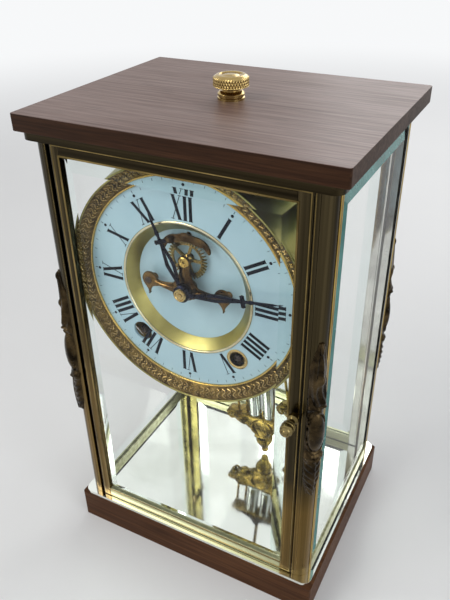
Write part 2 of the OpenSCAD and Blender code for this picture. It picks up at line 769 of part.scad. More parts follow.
// Hands: a boss, a pierced blade, a small cross and a slim pointer
module hand(back, deg, len, cross_at, blade_w, hole_r) {
  cross = 2.6;
  cross_t = 1.4;
  slim = 0.8;
  root = 1.2;
  wide_at = cross_at * 0.62;
  front = back + hand_t;
  color("midnightblue") difference() {
    union() {
      plate(back, front) circle(hand_boss_r);
      plate(back, front) rotate(deg) polygon([[-root, 0], [-blade_w, wide_at], [-slim, cross_at],
        [-slim, len - 3], [0, len], [slim, len - 3], [slim, cross_at], [blade_w, wide_at], [root, 0]]);
      plate(back, front) rotate(deg)
        translate([-cross, cross_at - cross_t / 2]) square([2 * cross, cross_t]);
    }
    plate(back - 1, front + 1) circle(hole_r);
    plate(back - 1, front + 1) rotate(deg) polygon([[0, cross_at * 0.3], [-blade_w + 1.1, wide_at],
      [0, cross_at - 2], [blade_w - 1.1, wide_at]]);
  }
}
module minute_hand() {
  hand(minute_hand_back, minute_deg, minute_len, minute_len * 0.64, minute_blade, cannon_pipe_r + seat);
}
module hour_hand() {
  hand(hour_hand_back, hour_deg, hour_len, hour_len * 0.65, hour_blade, hour_pipe_r + seat);
}
module hand_nut() {
  back = minute_hand_back + hand_t;
  color("goldenrod") turned() polygon([[0, back], [nut_r, back], [nut_r, back + 0.6 * nut_h],
    [0.7 * nut_r, back + nut_h], [0, back + nut_h]]);
}
// Motion work in front of the front plate
minute_wheel_plane = mfront_fwd + 2;
hour_wheel_plane = mfront_fwd + 4.6;
module cannon_pinion() {
  color("silver") difference() {
    union() {
      plate(minute_wheel_plane - 1, minute_wheel_plane + 1)
        pinion_2d(cannon_leaves, cannon_mod, heading(centre_at, minute_at));
      rod(mfront_fwd + 0.2, minute_hand_back + hand_t, cannon_pipe_r);
    }
    rod(mfront_fwd - 1, minute_hand_back + hand_t - 0.4, hand_arbor_r + run_fit);
  }
}
module minute_wheel() {
  color("gold") {
    plate(minute_wheel_plane - 0.7, minute_wheel_plane + 0.7, minute_at) difference() {
      wheel_2d(minute_teeth, cannon_mod, heading(minute_at, centre_at));
      circle(minute_stud_r + run_fit);
    }
    plate(minute_wheel_plane + 0.7, hour_wheel_plane + 1, minute_at) difference() {
      pinion_2d(minute_leaves, hour_mod, heading(minute_at, centre_at));
      circle(minute_stud_r + run_fit);
    }
  }
}
module hour_wheel() {
  color("gold") difference() {
    union() {
      plate(hour_wheel_plane - 0.7, hour_wheel_plane + 0.7)
        wheel_2d(hour_teeth, hour_mod, heading(centre_at, minute_at));
      rod(hour_wheel_plane - 0.7, hour_hand_back + hand_t, hour_pipe_r);
    }
    rod(hour_wheel_plane - 1, hour_hand_back + hand_t + 1, cannon_pipe_r + run_fit);
  }
}
// Closed mainspring barrel with its great wheel; the spring is inside
module barrel(at, partner) {
  difference() {
    union() {
      plate(great_plane - 0.8, great_plane + 0.8, at)
        wheel_2d(great_teeth, great_mod, heading(at, partner));
      rod(great_plane + 0.8, mfront_back - 1, drum_r, at);
      rod(great_plane - 3, great_plane - 0.8, 5, at);
    }
    rod(great_plane - 4, mfront_back, wind_arbor_r + run_fit, at);
  }
}
// Winding arbor with its key square, shoulder and ratchet wheel
module winding_arbor(at) {
  ratchet_back = mfront_fwd + 0.4;
  square_back = chapter_back - 4;
  rod(mback_back, square_back, wind_arbor_r, at);
  plate(square_back, dial_fwd - 0.4, at) square(wind_arbor_r * 1.3, center = true);
  plate(ratchet_back, ratchet_back + 1.6, at) polygon([for (i = [0:23], k = [[6.2, 0], [7.4, 0.15]])
    let (a = 15 * (i + k[1])) k[0] * [cos(a), sin(a)]]);
}
module time_barrel() { color("goldenrod") barrel(time_at, second_at); }
module strike_barrel() { color("goldenrod") barrel(strike_at, strike_wheel_at); }
module time_winding_arbor() { color("silver") winding_arbor(time_at); }
module strike_winding_arbor() { color("silver") winding_arbor(strike_at); }
// Going train
module second_wheel() {
  color("gold") {
    rod(mback_back, mfront_fwd, arbor_r, second_at);
    lantern(second_at, great_plane, second_pins, great_mod, heading(second_at, time_at));
    spoked_wheel(second_at, second_plane, second_teeth, second_mod, heading(second_at, centre_at), 0);
  }
}
module centre_wheel() {
  color("gold") {
    rod(mback_back, mfront_fwd, arbor_r, centre_at);
    rod(mfront_back, minute_hand_back + hand_t - 0.6, hand_arbor_r, centre_at);
    lantern(centre_at, second_plane, centre_pins, second_mod, heading(centre_at, second_at));
    spoked_wheel(centre_at, centre_plane, centre_teeth, train_mod, heading(centre_at, third_at), 0);
  }
}
module third_wheel() {
  color("gold") {
    rod(mback_back, mfront_fwd, arbor_r, third_at);
    lantern(third_at, centre_plane, third_pins, train_mod, heading(third_at, centre_at));
    spoked_wheel(third_at, third_plane, third_teeth, train_mod, heading(third_at, escape_at), 0);
  }
}
// Escape wheel before the dial's floor, with its pinion behind the front plate
module escape_wheel() {
  color("gold") {
    rod(third_plane - 4, bridge_back + bridge_t, arbor_r, escape_at);
    lantern(escape_at, third_plane, escape_pins, train_mod, heading(escape_at, third_at));
    plate(escape_plane - wheel_t / 2, escape_plane + wheel_t / 2, escape_at) difference() {
      polygon([for (i = [0:escape_teeth - 1],
        k = [[escape_r - 1.6, -0.3], [escape_r, -0.05], [escape_r, 0.1], [escape_r - 1.6, 0.35]])
        let (a = (i + k[1]) * 360 / escape_teeth) k[0] * [cos(a), sin(a)]]);
      spoke_gaps_2d(2.6, escape_r - 3, 5, 1.4);
    }
  }
}
// Bridge before the escape wheel: leaf-ended arms, a boss round the hands and an upper arm
module escape_bridge() {
  leaf_r = 3.2;
  color("peru") {
    plate(bridge_back, bridge_back + bridge_t) difference() {
      union() {
        circle(5.6);
        polygon([[-3.4, 0], [-1.6, escape_up], [1.6, escape_up], [3.4, 0]]);
        translate(escape_at) circle(2.8);
        for (side = [-1, 1]) scale([side, 1]) {
          polygon([[0, -2.6], [bridge_x, -1.2], [bridge_x, 1.2], [0, 2.6]]);
          translate([bridge_x, 0]) circle(leaf_r);
          polygon([[bridge_x - leaf_r, 0], [bridge_x, -6], [bridge_x + leaf_r, 0], [bridge_x, 5]]);
        }
      }
      circle(hour_pipe_r + clear);
      translate(escape_at) circle(arbor_r + run_fit);
    }
    for (side = [-1, 1]) rod(floor_fwd, bridge_back, 1.6, [side * bridge_x, 0]);
  }
}
// Anchor before the escape wheel with its pallet pins, its arbor, and the crutch that embraces the rod
module pallet_arbor() {
  pallet_r = escape_r + 1.9;
  pin_r = 0.7;
  pin_x = pallet_r * sin(45);
  drop = pallet_up - pin_x;
  anchor_back = escape_plane + wheel_t / 2 + clear;
  anchor_t = 1.2;
  fork_z = 40;
  fork_r = 0.8;
  crutch_t = 1.6;
  crutch_fwd = mback_back - 7;
  crutch_back = crutch_fwd - crutch_t;
  color("goldenrod") swung() {
    rod(crutch_back, anchor_back + anchor_t + 0.4, pallet_arbor_r, pallet_at);
    plate(anchor_back, anchor_back + anchor_t, pallet_at) {
      circle(2.2);
      for (side = [-1, 1]) scale([side, 1]) {
        polygon([[0, 1.6], [pin_x, 1 - drop], [pin_x, -0.8 - drop], [0, -1.6]]);
        translate([pin_x, -drop]) circle(pin_r + 0.2);
      }
    }
    for (side = [-1, 1])
      rod(escape_plane - wheel_t / 2, anchor_back + anchor_t / 2, pin_r, pallet_at + [side * pin_x, -drop]);
    plate(crutch_back, crutch_fwd, pallet_at) {
      circle(2.4);
      translate([-1.2, -fork_z]) square([2.4, fork_z]);
      translate([-3.4, -fork_z - 1.5]) square([6.8, 3]);
    }
    for (side = [-1, 1])
      rod(-pendulum_y - 3, crutch_back, fork_r, pallet_at + [side * (rod_r + clear + fork_r), -fork_z]);
  }
}
// Turns a piece about the pendulum's pivot to its place in the swing
module swung() {
  translate([0, 0, pallet_z]) rotate([0, -swing_deg, 0]) translate([0, 0, -pallet_z]) children();
}
// Strike wheel with the pins that lift the hammer's tail
lift_r = train_mod * (strike_teeth / 2 - 2.7);
lift_pin_r = 0.5;
lift_front = second_plane + 2.4;
module strike_wheel() {
  color("gold") {
    rod(mback_back, mfront_fwd, arbor_r, strike_wheel_at);
    lantern(strike_wheel_at, great_plane, strike_pins, great_mod, heading(strike_wheel_at, strike_at));
    spoked_wheel(strike_wheel_at, second_plane, strike_teeth, train_mod, 0, 0);
    for (i = [0:7]) rod(second_plane + wheel_t / 2, lift_front, lift_pin_r,
      strike_wheel_at + lift_r * [cos(45 * i), sin(45 * i)]);
  }
}

// Hammer on an arbor through both plates, with its tail by the lifting pins
hammer_head_r = 3.6;
hammer_gap = 1.2;
hammer_fwd = mback_back - 5.2;
coil_left = gong_at[0] - coil_r - coil_step * (coil_turns - 0.5) - wire_r;
hammer_head_at = [coil_left - hammer_gap - hammer_head_r, gong_at[1]];
module hammer() {
  tail_len = norm(strike_wheel_at - hammer_at) - lift_r - lift_pin_r - 2 * clear;
  color("silver") {
    rod(hammer_fwd, mfront_fwd, hammer_arbor_r, hammer_at);
    plate(hammer_fwd, hammer_fwd + 1.6, hammer_at) {
      circle(2.4);
      rotate(heading(hammer_at, hammer_head_at)) translate([0, -1])
        square([norm(hammer_head_at - hammer_at), 2]);
    }
    plate(hammer_fwd - 1.2, hammer_fwd + 3, hammer_head_at) circle(hammer_head_r);
    plate(second_plane + wheel_t / 2 + clear, lift_front, hammer_at) {
      circle(2.4);
      rotate(heading(hammer_at, strike_wheel_at)) translate([0, -0.8]) square([tail_len, 1.6]);
    }
  }
}
// Gong: one flat coil of round wire, straight where it leaves its block and at its free end
gong_fwd = mback_back - 4;
coil_rings = 24;
coil_sides = 6;
gong_line = concat([[coil_r, -2 * wire_r]],
  [for (i = [0:coil_rings * coil_turns]) let (a = 360 * i / coil_rings)
    (coil_r + coil_step * i / coil_rings) * [cos(a), sin(a)]],
  [[coil_r + coil_step * coil_turns, 2 * wire_r]]);
gong_last = len(gong_line) - 1;
function gong_way(i) = let (d = gong_line[min(i + 1, gong_last)] - gong_line[max(i - 1, 0)]) d / norm(d);
gong_gap = min([for (i = [0:gong_last], j = [i + coil_rings / 2:1:gong_last])
  norm(gong_line[i] - gong_line[j])]) - 2 * wire_r;
module gong() {
  points = [for (i = [0:gong_last], k = [0:coil_sides - 1])
    let (a = 360 * k / coil_sides, t = gong_way(i), p = gong_line[i] + wire_r * cos(a) * [t[1], -t[0]])
    [p[0], p[1], wire_r * sin(a)]];
  sides = [for (i = [0:gong_last - 1], k = [0:coil_sides - 1], half = [0, 1])
    let (a = i * coil_sides + k, b = i * coil_sides + (k + 1) % coil_sides)
    half == 0 ? [a, b, a + coil_sides] : [b, b + coil_sides, a + coil_sides]];
  first = [for (k = [1:coil_sides - 2]) [0, k + 1, k]];
  end = gong_last * coil_sides;
  last = [for (k = [1:coil_sides - 2]) [end, end + k, end + k + 1]];
  echo(str("gong: least gap between turns ", gong_gap, " mm"));
  color("slategray") translate([gong_at[0], -gong_fwd, dial_z + gong_at[1]]) rotate([90, 0, 0])
    polyhedron(points, concat(sides, first, last));
}
// Block on the back plate that grips the inner end of the gong
module gong_stand() {
  block_h = 3;
  color("goldenrod") {
    plate(gong_fwd - 1.5, mback_back, gong_at) translate([coil_r - 3.5, -2 * wire_r - block_h])
      square([3.5 + wire_r, block_h]);
    plate(gong_fwd + wire_r + 0.8, mback_back, gong_at) translate([coil_r - 8, -2 * wire_r - 8])
      square([8 + wire_r, 8]);
  }
}

// Cock on the back plate with the clamped end of the suspension spring
spring_t = 0.4;
spring_w = 5;
spring_len = 10;
module suspension_cock() {
  low = 3;
  color("goldenrod") {
    translate([-5, -mback_back, pallet_z + low]) cube([10, pendulum_y + 4 + mback_back, 6]);
    translate([-spring_t / 2, pendulum_y - spring_w / 2, pallet_z + clear]) cube([spring_t, spring_w, low]);
  }
}
// Places a piece on the pendulum: X, and drop below the pivot
module on_pendulum() {
  swung() translate([0, pendulum_y, pallet_z]) children();
}
cradle_h = 18.5;
cradle_half = 26;
cup_x = 14;
cup_r = 7;
cup_h = 11;
nut_drop = pallet_z - z_frame - pendulum_rise;
vial_drop = nut_drop - rating_h - clear - cradle_h;
yoke_drop = vial_drop - vial_h;
yoke_h = 4;
yoke_half = 21;
bar_r = 0.9;
bar_in = vial_x + vial_r + bar_r + 0.5;
bar_out = yoke_half - 3;
stem_r = 1.5;
stem_len = 7;
module pendulum_slab(t) {
  translate([0, t / 2, 0]) rotate([90, 0, 0]) linear_extrude(t) children();
}
// Spring, rod, winged yoke, side bars and winged cradle with a cup under each wing
module pendulum_frame() {
  bottom = vial_drop + cradle_h;
  color("goldenrod") on_pendulum() {
    translate([-spring_t / 2, -spring_w / 2, -spring_len]) cube([spring_t, spring_w, spring_len]);
    translate([0, 0, -yoke_drop]) cylinder(h = yoke_drop - spring_len + 1, r = rod_r);
    translate([0, 0, -spring_len - 2]) cylinder(h = 3, r = 2.6);
    pendulum_slab(8) polygon([[-bar_in - 2, -yoke_drop], [-yoke_half, -yoke_drop + 1],
      [-yoke_half + 2, -yoke_drop + 1.5 * yoke_h], [-8, -yoke_drop + 1.6 * yoke_h],
      [0, -yoke_drop + 3 * yoke_h], [8, -yoke_drop + 1.6 * yoke_h],
      [yoke_half - 2, -yoke_drop + 1.5 * yoke_h], [yoke_half, -yoke_drop + 1], [bar_in + 2, -yoke_drop]]);
    for (side = [-1, 1], x = [bar_in, bar_out])
      translate([side * x, 0, -vial_drop - 1]) cylinder(h = vial_h + 2.8, r = bar_r);
    pendulum_slab(9) polygon([[-cradle_half, -vial_drop], [-cradle_half + 2, -vial_drop - 4],
      [-13, -vial_drop - 0.6 * cradle_h], [-6, -bottom], [6, -bottom], [13, -vial_drop - 0.6 * cradle_h],
      [cradle_half - 2, -vial_drop - 4], [cradle_half, -vial_drop]]);
    for (side = [-1, 1]) translate([side * cup_x, 0, -vial_drop - cup_h - 0.4])
      cylinder(h = cup_h, r1 = 0.5 * cup_r, r2 = cup_r);
    translate([0, 0, -bottom - stem_len]) cylinder(h = stem_len + 1, r = stem_r);
  }
}
module pendulum_vials() {
  lip = 0.8;
  color("silver") on_pendulum() for (side = [-1, 1]) translate([side * vial_x, 0, -vial_drop])
    rotate_extrude() polygon([[0, 0], [vial_r - lip, 0], [vial_r, lip], [vial_r, vial_h - lip],
      [vial_r - lip, vial_h], [0, vial_h]]);
}
// Finial that screws on the cradle's stem and sets the pendulum's rate
module rating_nut() {
  top = -vial_drop - cradle_h - clear;
  tall = nut_drop + top;
  bore = stem_r + run_fit;
  bore_end = top - stem_len - 1;
  color("goldenrod") on_pendulum() rotate_extrude() polygon([
    [0, -nut_drop], [1.2, -nut_drop], [2.6, -nut_drop + 0.1 * tall], [2.2, -nut_drop + 0.3 * tall],
    [4, -nut_drop + 0.6 * tall], [5.8, top - 1.6], [5.8, top], [bore, top],
    [bore, bore_end], [0, bore_end]]);
}

base_board();
base_plate();
case_screws();
post_front_left();
post_front_right();
post_rear_left();
post_rear_right();
side_rails();
roof_plate();
top_board();
top_collar();
top_knob();
side_glass_left();
side_glass_right();
corner_ornaments();
door_pivots();
front_hinge_stile();
front_lock_stile();
front_rails();
front_glass();
front_knob();
rear_hinge_stile();
rear_lock_stile();
rear_rails();
rear_glass();
rear_knob();
movement_front_plate();
movement_back_plate();
movement_pillars();
movement_hangers();
dial_ring();
dial_well();
dial_centre();
dial_bezel();
dial_feet();
winding_eyelet();
minute_hand();
hour_hand();
hand_nut();
cannon_pinion();
minute_wheel();
hour_wheel();
time_barrel();
time_winding_arbor();
second_wheel();
centre_wheel();
third_wheel();
escape_wheel();
escape_bridge();
pallet_arbor();
strike_barrel();
strike_winding_arbor();
strike_wheel();
hammer();
gong();
gong_stand();
suspension_cock();
pendulum_frame();
pendulum_vials();
rating_nut();
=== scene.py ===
"""Looks of a crystal regulator clock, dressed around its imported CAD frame.

Outlines and sizes below are in millimetres and become metres through MM. Pieces on the dial are drawn
in front view: x to the right and "up" from the dial's centre, with "fwd" the distance towards the front.
"""
import json
import math

import bmesh
import bpy
from mathutils import Matrix, Vector


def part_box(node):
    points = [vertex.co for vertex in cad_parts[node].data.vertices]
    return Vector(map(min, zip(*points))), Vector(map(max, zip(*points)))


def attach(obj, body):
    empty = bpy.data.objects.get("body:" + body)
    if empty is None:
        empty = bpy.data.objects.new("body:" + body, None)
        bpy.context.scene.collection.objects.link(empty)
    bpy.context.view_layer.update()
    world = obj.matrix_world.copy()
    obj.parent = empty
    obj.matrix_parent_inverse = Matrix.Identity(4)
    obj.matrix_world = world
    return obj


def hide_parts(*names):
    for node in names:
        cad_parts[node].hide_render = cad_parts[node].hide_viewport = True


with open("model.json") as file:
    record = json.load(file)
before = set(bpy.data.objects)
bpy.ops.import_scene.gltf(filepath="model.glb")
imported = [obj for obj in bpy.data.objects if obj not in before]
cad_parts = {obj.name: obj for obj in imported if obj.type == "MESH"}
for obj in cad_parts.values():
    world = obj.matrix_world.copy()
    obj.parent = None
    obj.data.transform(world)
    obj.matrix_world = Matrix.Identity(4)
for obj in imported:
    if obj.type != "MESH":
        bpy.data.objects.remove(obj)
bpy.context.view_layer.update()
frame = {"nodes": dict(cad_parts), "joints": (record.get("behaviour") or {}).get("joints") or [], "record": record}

MM = 0.001
NODES = frame["nodes"]
BODY_OF = {n: body for body, names in frame["record"]["behaviour"]["bodies"].items() for n in names}
SLOT_OF = {s["node"]: s["material_slot"] for s in frame["record"]["subparts"]}


def box_mm(node):
    """Lowest and highest corner of a CAD node, in millimetres."""
    low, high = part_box(node)
    return low / MM, high / MM


def radius_mm(node):
    """Half the width of a round CAD node, in millimetres."""
    low, high = box_mm(node)
    return (high.x - low.x) / 2


# Places read from the frame
bezel_low, bezel_high = box_mm("dial_bezel")
DIAL_Z = (bezel_low.z + bezel_high.z) / 2
BEZEL_FWD, DRUM_BACK = -bezel_low.y, -bezel_high.y
DIAL_FWD, FLOOR_FWD = -box_mm("dial_ring")[0].y, -box_mm("dial_centre")[0].y
BEZEL_R, WELL_R = radius_mm("dial_bezel"), radius_mm("dial_well") - 1
CHAPTER_R = 56.4  # edge of the enamel, inside the bezel


# Materials
def put(node, values):
    """Sets a node's inputs, each to a value or from another node's socket."""
    for name, value in values.items():
        if isinstance(value, bpy.types.NodeSocket):
            node.id_data.links.new(value, node.inputs[name])
        else:
            node.inputs[name].default_value = value


def add(tree, kind, values=None, **settings):
    """New node with its settings and its inputs."""
    node = tree.nodes.new(kind)
    for name, value in settings.items():
        setattr(node, name, value)
    put(node, values or {})
    return node


def shader(name):
    """A new material with its node tree and its Principled shader."""
    material = bpy.data.materials.new(name)
    material.use_nodes = True
    return material, material.node_tree, material.node_tree.nodes["Principled BSDF"]


def noise(tree, scale, stretch=(1, 1, 1), detail=4, distortion=0.0):
    """Noise over the object's own coordinates, in cycles per metre along each axis."""
    place = add(tree, "ShaderNodeTexCoord").outputs["Object"]
    mapped = add(tree, "ShaderNodeMapping", {"Vector": place, "Scale": stretch}).outputs["Vector"]
    texture = add(tree, "ShaderNodeTexNoise", {"Vector": mapped, "Scale": scale, "Detail": detail,
                                               "Distortion": distortion})
    return texture.outputs["Fac"]


def ramp(tree, value, stops):
    """Colour ramp with (place, (r, g, b)) stops."""
    node = add(tree, "ShaderNodeValToRGB", {"Fac": value})
    elements = node.color_ramp.elements
    while len(elements) < len(stops):
        elements.new(0.5)
    for element, (place, colour) in zip(elements, stops):
        element.position = place
        element.color = (*colour, 1)
    return node.outputs["Color"]


def two_tones(tree, value, dark, light):
    """Colour that wanders between two tones with a noise."""
    return ramp(tree, value, [(0.35, dark), (0.65, light)])


def remap(tree, value, low, high):
    """Takes the middle of a noise to the range from low to high."""
    node = add(tree, "ShaderNodeMapRange", {"Value": value, "From Min": 0.3, "From Max": 0.7, "To Min": low,
                                            "To Max": high})
    return node.outputs["Result"]


def blend(tree, factor, one, two, kind="MIX"):
    """Mix of two colours, or of two values when kind is VALUE; factor is a number or a socket."""
    node = add(tree, "ShaderNodeMix", data_type="FLOAT" if kind == "VALUE" else "RGBA")
    if kind == "MULTIPLY":
        node.blend_type = kind
    index = {socket.identifier.split("_")[0]: i for i, socket in enumerate(node.inputs) if socket.enabled}
    put(node, {index["Factor"]: factor, index["A"]: one, index["B"]: two})
    return next(o for o in node.outputs if o.enabled)


def mix_shaders(tree, factor, one, two):
    """Mix of two shaders; factor is a number or a socket."""
    return add(tree, "ShaderNodeMixShader", {"Fac": factor, 1: one, 2: two}).outputs["Shader"]


def bump(tree, bsdf, height, distance, strength=0.5):
    """Fine relief in the shading, with its height in metres."""
    relief = add(tree, "ShaderNodeBump", {"Height": height, "Distance": distance, "Strength": strength})
    put(bsdf, {"Normal": relief.outputs["Normal"]})


def metal(name, dark, light, rough, scale, relief=0.0):
    """Metal that wanders between two tones, with uneven polish; rough is the pair of roughnesses."""
    material, tree, bsdf = shader(name)
    stain = noise(tree, scale, detail=6, distortion=0.4)
    put(bsdf, {"Base Color": two_tones(tree, stain, dark, light), "Metallic": 1,
               "Roughness": remap(tree, noise(tree, scale * 3), *rough)})
    if relief:
        bump(tree, bsdf, noise(tree, scale * 8), relief)
    return material


def brass_with_painted_reflection(name, stretch, upper, lower, turn, rough=(0.14, 0.3)):
    """Frame brass in fine streaks of painted reflection and highlight: upper tones above the pair of heights in
    turn, for dark surroundings mirrored in it, lower tones below, for a lit table.
    """
    material, tree, bsdf = shader(name)
    streak = noise(tree, 350, stretch)
    place = add(tree, "ShaderNodeSeparateXYZ", {"Vector": add(tree, "ShaderNodeTexCoord").outputs["Object"]})
    height = add(tree, "ShaderNodeMapRange", {"Value": place.outputs["Z"], "From Min": turn[0],
                                              "From Max": turn[1]})
    tones = [two_tones(tree, streak, *pair) for pair in (lower, upper)]
    put(bsdf, {"Base Color": blend(tree, height.outputs["Result"], *tones), "Metallic": 1,
               "Roughness": remap(tree, noise(tree, 150, stretch), *rough)})
    return material


def wood(name, dark, middle, light, coat):
    """Varnished board with fine grain along X, soft clouds and dark pores."""
    material, tree, bsdf = shader(name)
    fine = noise(tree, 16, (1.2, 38, 38), detail=9, distortion=0.5)
    grain = blend(tree, 0.35, fine, noise(tree, 8, (1, 3, 3), detail=3), "VALUE")
    colour = ramp(tree, grain, [(0.32, dark), (0.5, middle), (0.68, light)])
    flecks = noise(tree, 70, (1, 22, 22), detail=3)
    pore = ramp(tree, flecks, [(0.36, (0.75, 0.75, 0.75)), (0.5, (1, 1, 1))])
    put(bsdf, {"Base Color": blend(tree, 1, colour, pore, "MULTIPLY"), "Coat Weight": coat,
               "Coat Roughness": 0.3, "Roughness": remap(tree, grain, 0.55, 0.4), "Specular IOR Level": 0.12})
    bump(tree, bsdf, flecks, 0.1 * MM, 0.35)
    return material


def enamel(name, dark, light):
    """Glossy enamel with soft clouds."""
    material, tree, bsdf = shader(name)
    cloud = noise(tree, 40, detail=3)
    put(bsdf, {"Base Color": ramp(tree, cloud, [(0.3, dark), (0.7, light)]), "Coat Weight": 0.4,
               "Coat Roughness": 0.05, "Roughness": remap(tree, noise(tree, 90), 0.1, 0.2)})
    return material


GLASS_IOR, CALM = 1.5, 0.7  # CALM is the part of the glass that mirrors nothing


def glass(name, tint, deep):
    """Clear glass with a calm gleam that lets lamps through, with a faint waver in its tint."""
    material, tree, bsdf = shader(name)
    colour = two_tones(tree, noise(tree, 25, detail=2), deep, tint)
    put(bsdf, {"Base Color": colour, "Roughness": 0, "IOR": GLASS_IOR, "Transmission Weight": 1})
    one_face = add(tree, "ShaderNodeGamma", {"Color": colour, "Gamma": 0.5}).outputs["Color"]
    bare = add(tree, "ShaderNodeBsdfRefraction", {"Color": one_face, "Roughness": 0, "IOR": GLASS_IOR})
    calm = mix_shaders(tree, CALM, bsdf.outputs["BSDF"], bare.outputs["BSDF"])
    clear = add(tree, "ShaderNodeBsdfTransparent", {"Color": (*tint, 1)}).outputs["BSDF"]
    shadow = add(tree, "ShaderNodeLightPath").outputs["Is Shadow Ray"]
    put(tree.nodes["Material Output"], {"Surface": mix_shaders(tree, shadow, calm, clear)})
    return material


def ground_glass(name, deep, pale):
    """Satin bevel in the green of the pane's edge, painted strong to stand in for light seen through the glass's
    length.
    """
    material, tree, bsdf = shader(name)
    put(bsdf, {"Base Color": two_tones(tree, noise(tree, 60), deep, pale), "Transmission Weight": 0.35,
               "Roughness": remap(tree, noise(tree, 120), 0.15, 0.3)})
    return material


# Streaks along Z or along X, and the pairs of tones of the frame's brass: painted reflection, dark above and
# golden or pale below, each pair running from a dark reflection to a painted highlight
UPRIGHT, LEVEL = (1, 1, 0.008), (0.008, 1, 1)
DARK_REFLECTION_TONES = ((0.014, 0.011, 0.006), (0.080, 0.061, 0.030))
GOLDEN_REFLECTION_TONES = ((0.085, 0.050, 0.011), (0.26, 0.165, 0.05))
DARK_RAIL_REFLECTION = ((0.008, 0.006, 0.003), (0.048, 0.036, 0.018))
PALE_RAIL_REFLECTION = ((0.32, 0.315, 0.18), (0.54, 0.54, 0.35))
# The turn from the dark upper tones to the light lower tones with height is painted reflection.
FRAME_BRASS = brass_with_painted_reflection("frame_brass", UPRIGHT, DARK_REFLECTION_TONES, GOLDEN_REFLECTION_TONES, (0.08, 0.18))
LOCK_BRASS = brass_with_painted_reflection("lock_side_brass", UPRIGHT, DARK_REFLECTION_TONES, GOLDEN_REFLECTION_TONES, (0.076, 0.1))
RAIL_BRASS = brass_with_painted_reflection("rail_brass", LEVEL, DARK_RAIL_REFLECTION, PALE_RAIL_REFLECTION, (0.04, 0.2), (0.3, 0.45))
KNOB_BRASS = metal("knob_brass", (0.085, 0.062, 0.022), (0.30, 0.235, 0.10), (0.12, 0.25), 60)
BEAD_BRASS = metal("bead_brass", (0.10, 0.072, 0.025), (0.32, 0.23, 0.085), (0.15, 0.3), 30)
# Pale and olive brass for the faces that look into the case: painted reflection.
PALE_INWARD_REFLECTION = metal("inner_brass", (0.56, 0.55, 0.50), (0.74, 0.73, 0.68), (0.06, 0.16), 60)
OLIVE_INWARD_REFLECTION = metal("olive_brass", (0.12, 0.105, 0.03), (0.28, 0.25, 0.085), (0.22, 0.36), 60)
GOLD_LINE = metal("gold_line", (0.38, 0.25, 0.06), (0.60, 0.43, 0.14), (0.15, 0.28), 40)
POLISHED = metal("polished_brass", (0.36, 0.25, 0.09), (0.60, 0.45, 0.20), (0.1, 0.22), 40)
BASE_MIRROR = metal("base_mirror", (0.78, 0.81, 0.74), (0.90, 0.93, 0.87), (0.03, 0.1), 25)
BEZEL_GROUND = metal("bezel_ground", (0.045, 0.027, 0.007), (0.17, 0.112, 0.034), (0.28, 0.45), 300)
GILT = metal("gilt_bezel", (0.22, 0.145, 0.045), (0.46, 0.33, 0.135), (0.2, 0.36), 120)
BRONZE = metal("bronze_ornament", (0.013, 0.009, 0.005), (0.078, 0.053, 0.025), (0.18, 0.36), 130)
BRIDGE_BRONZE = metal("bridge_bronze", (0.055, 0.027, 0.008), (0.21, 0.125, 0.044), (0.1, 0.22), 130)
ANCHOR_BRONZE = metal("anchor_bronze", (0.04, 0.02, 0.006), (0.16, 0.095, 0.034), (0.12, 0.26), 130)
# The well's rim is brass; its pale near-silver tone is partly a painted highlight along its edge.
RIM_BRASS = metal("rim_brass", (0.50, 0.43, 0.25), (0.74, 0.68, 0.48), (0.08, 0.16), 40)
SATIN_BRASS = metal("satin_brass", (0.27, 0.235, 0.075), (0.40, 0.355, 0.125), (0.28, 0.4), 50, 0.03 * MM)
ESCAPE_BRASS = metal("escape_brass", (0.17, 0.115, 0.03), (0.40, 0.29, 0.10), (0.16, 0.3), 90)
MOVEMENT = metal("movement_brass", (0.24, 0.16, 0.05), (0.46, 0.33, 0.125), (0.2, 0.36), 70)
PENDULUM_GILT = metal("pendulum_gilt", (0.10, 0.066, 0.012), (0.34, 0.245, 0.06), (0.18, 0.32), 110)
SILVER = metal("silver_vial", (0.34, 0.36, 0.34), (0.58, 0.61, 0.58), (0.05, 0.14), 60)
DARK_STEEL = metal("dark_steel", (0.03, 0.022, 0.018), (0.10, 0.08, 0.07), (0.14, 0.28), 90)
STEEL = metal("bright_steel", (0.30, 0.30, 0.29), (0.48, 0.48, 0.47), (0.2, 0.35), 80)
BLUED = metal("blued_steel", (0.005, 0.006, 0.012), (0.015, 0.018, 0.034), (0.22, 0.36), 120)
# The top board's wood is paler and greyer on its top, partly a painted sheen, and far darker on its upright faces,
# a painted shade.
TOP_WOOD = wood("top_wood", (0.115, 0.064, 0.05), (0.185, 0.118, 0.098), (0.25, 0.17, 0.145), 0.22)
TOP_SIDE_SHADE = wood("top_edge_wood", (0.016, 0.006, 0.002), (0.034, 0.013, 0.005), (0.058, 0.024, 0.010), 0)
BASE_WOOD = wood("base_wood", (0.034, 0.012, 0.003), (0.078, 0.028, 0.008), (0.125, 0.05, 0.016), 0)
# The white enamel is darker and blue-grey: painted shade and cool light.
ENAMEL = enamel("white_enamel", (0.325, 0.485, 0.56), (0.38, 0.545, 0.61))
INK = metal("dial_ink", (0.006, 0.008, 0.014), (0.012, 0.016, 0.028), (0.4, 0.55), 90)
CLEAR_GLASS = glass("clear_glass", (0.985, 0.995, 0.99), (0.97, 0.985, 0.98))
BEVEL_GLASS = glass("bevel_glass", (0.90, 0.97, 0.95), (0.82, 0.93, 0.90))
TEAL_GROUND = ground_glass("teal_ground", (0.045, 0.23, 0.20), (0.12, 0.40, 0.36))
EDGE_GLASS = glass("edge_glass", (0.45, 0.74, 0.68), (0.32, 0.62, 0.56))


# Shape helpers
def in_scene(name, data):
    """New object in the scene."""
    obj = bpy.data.objects.new(name, data)
    bpy.context.scene.collection.objects.link(obj)
    return obj


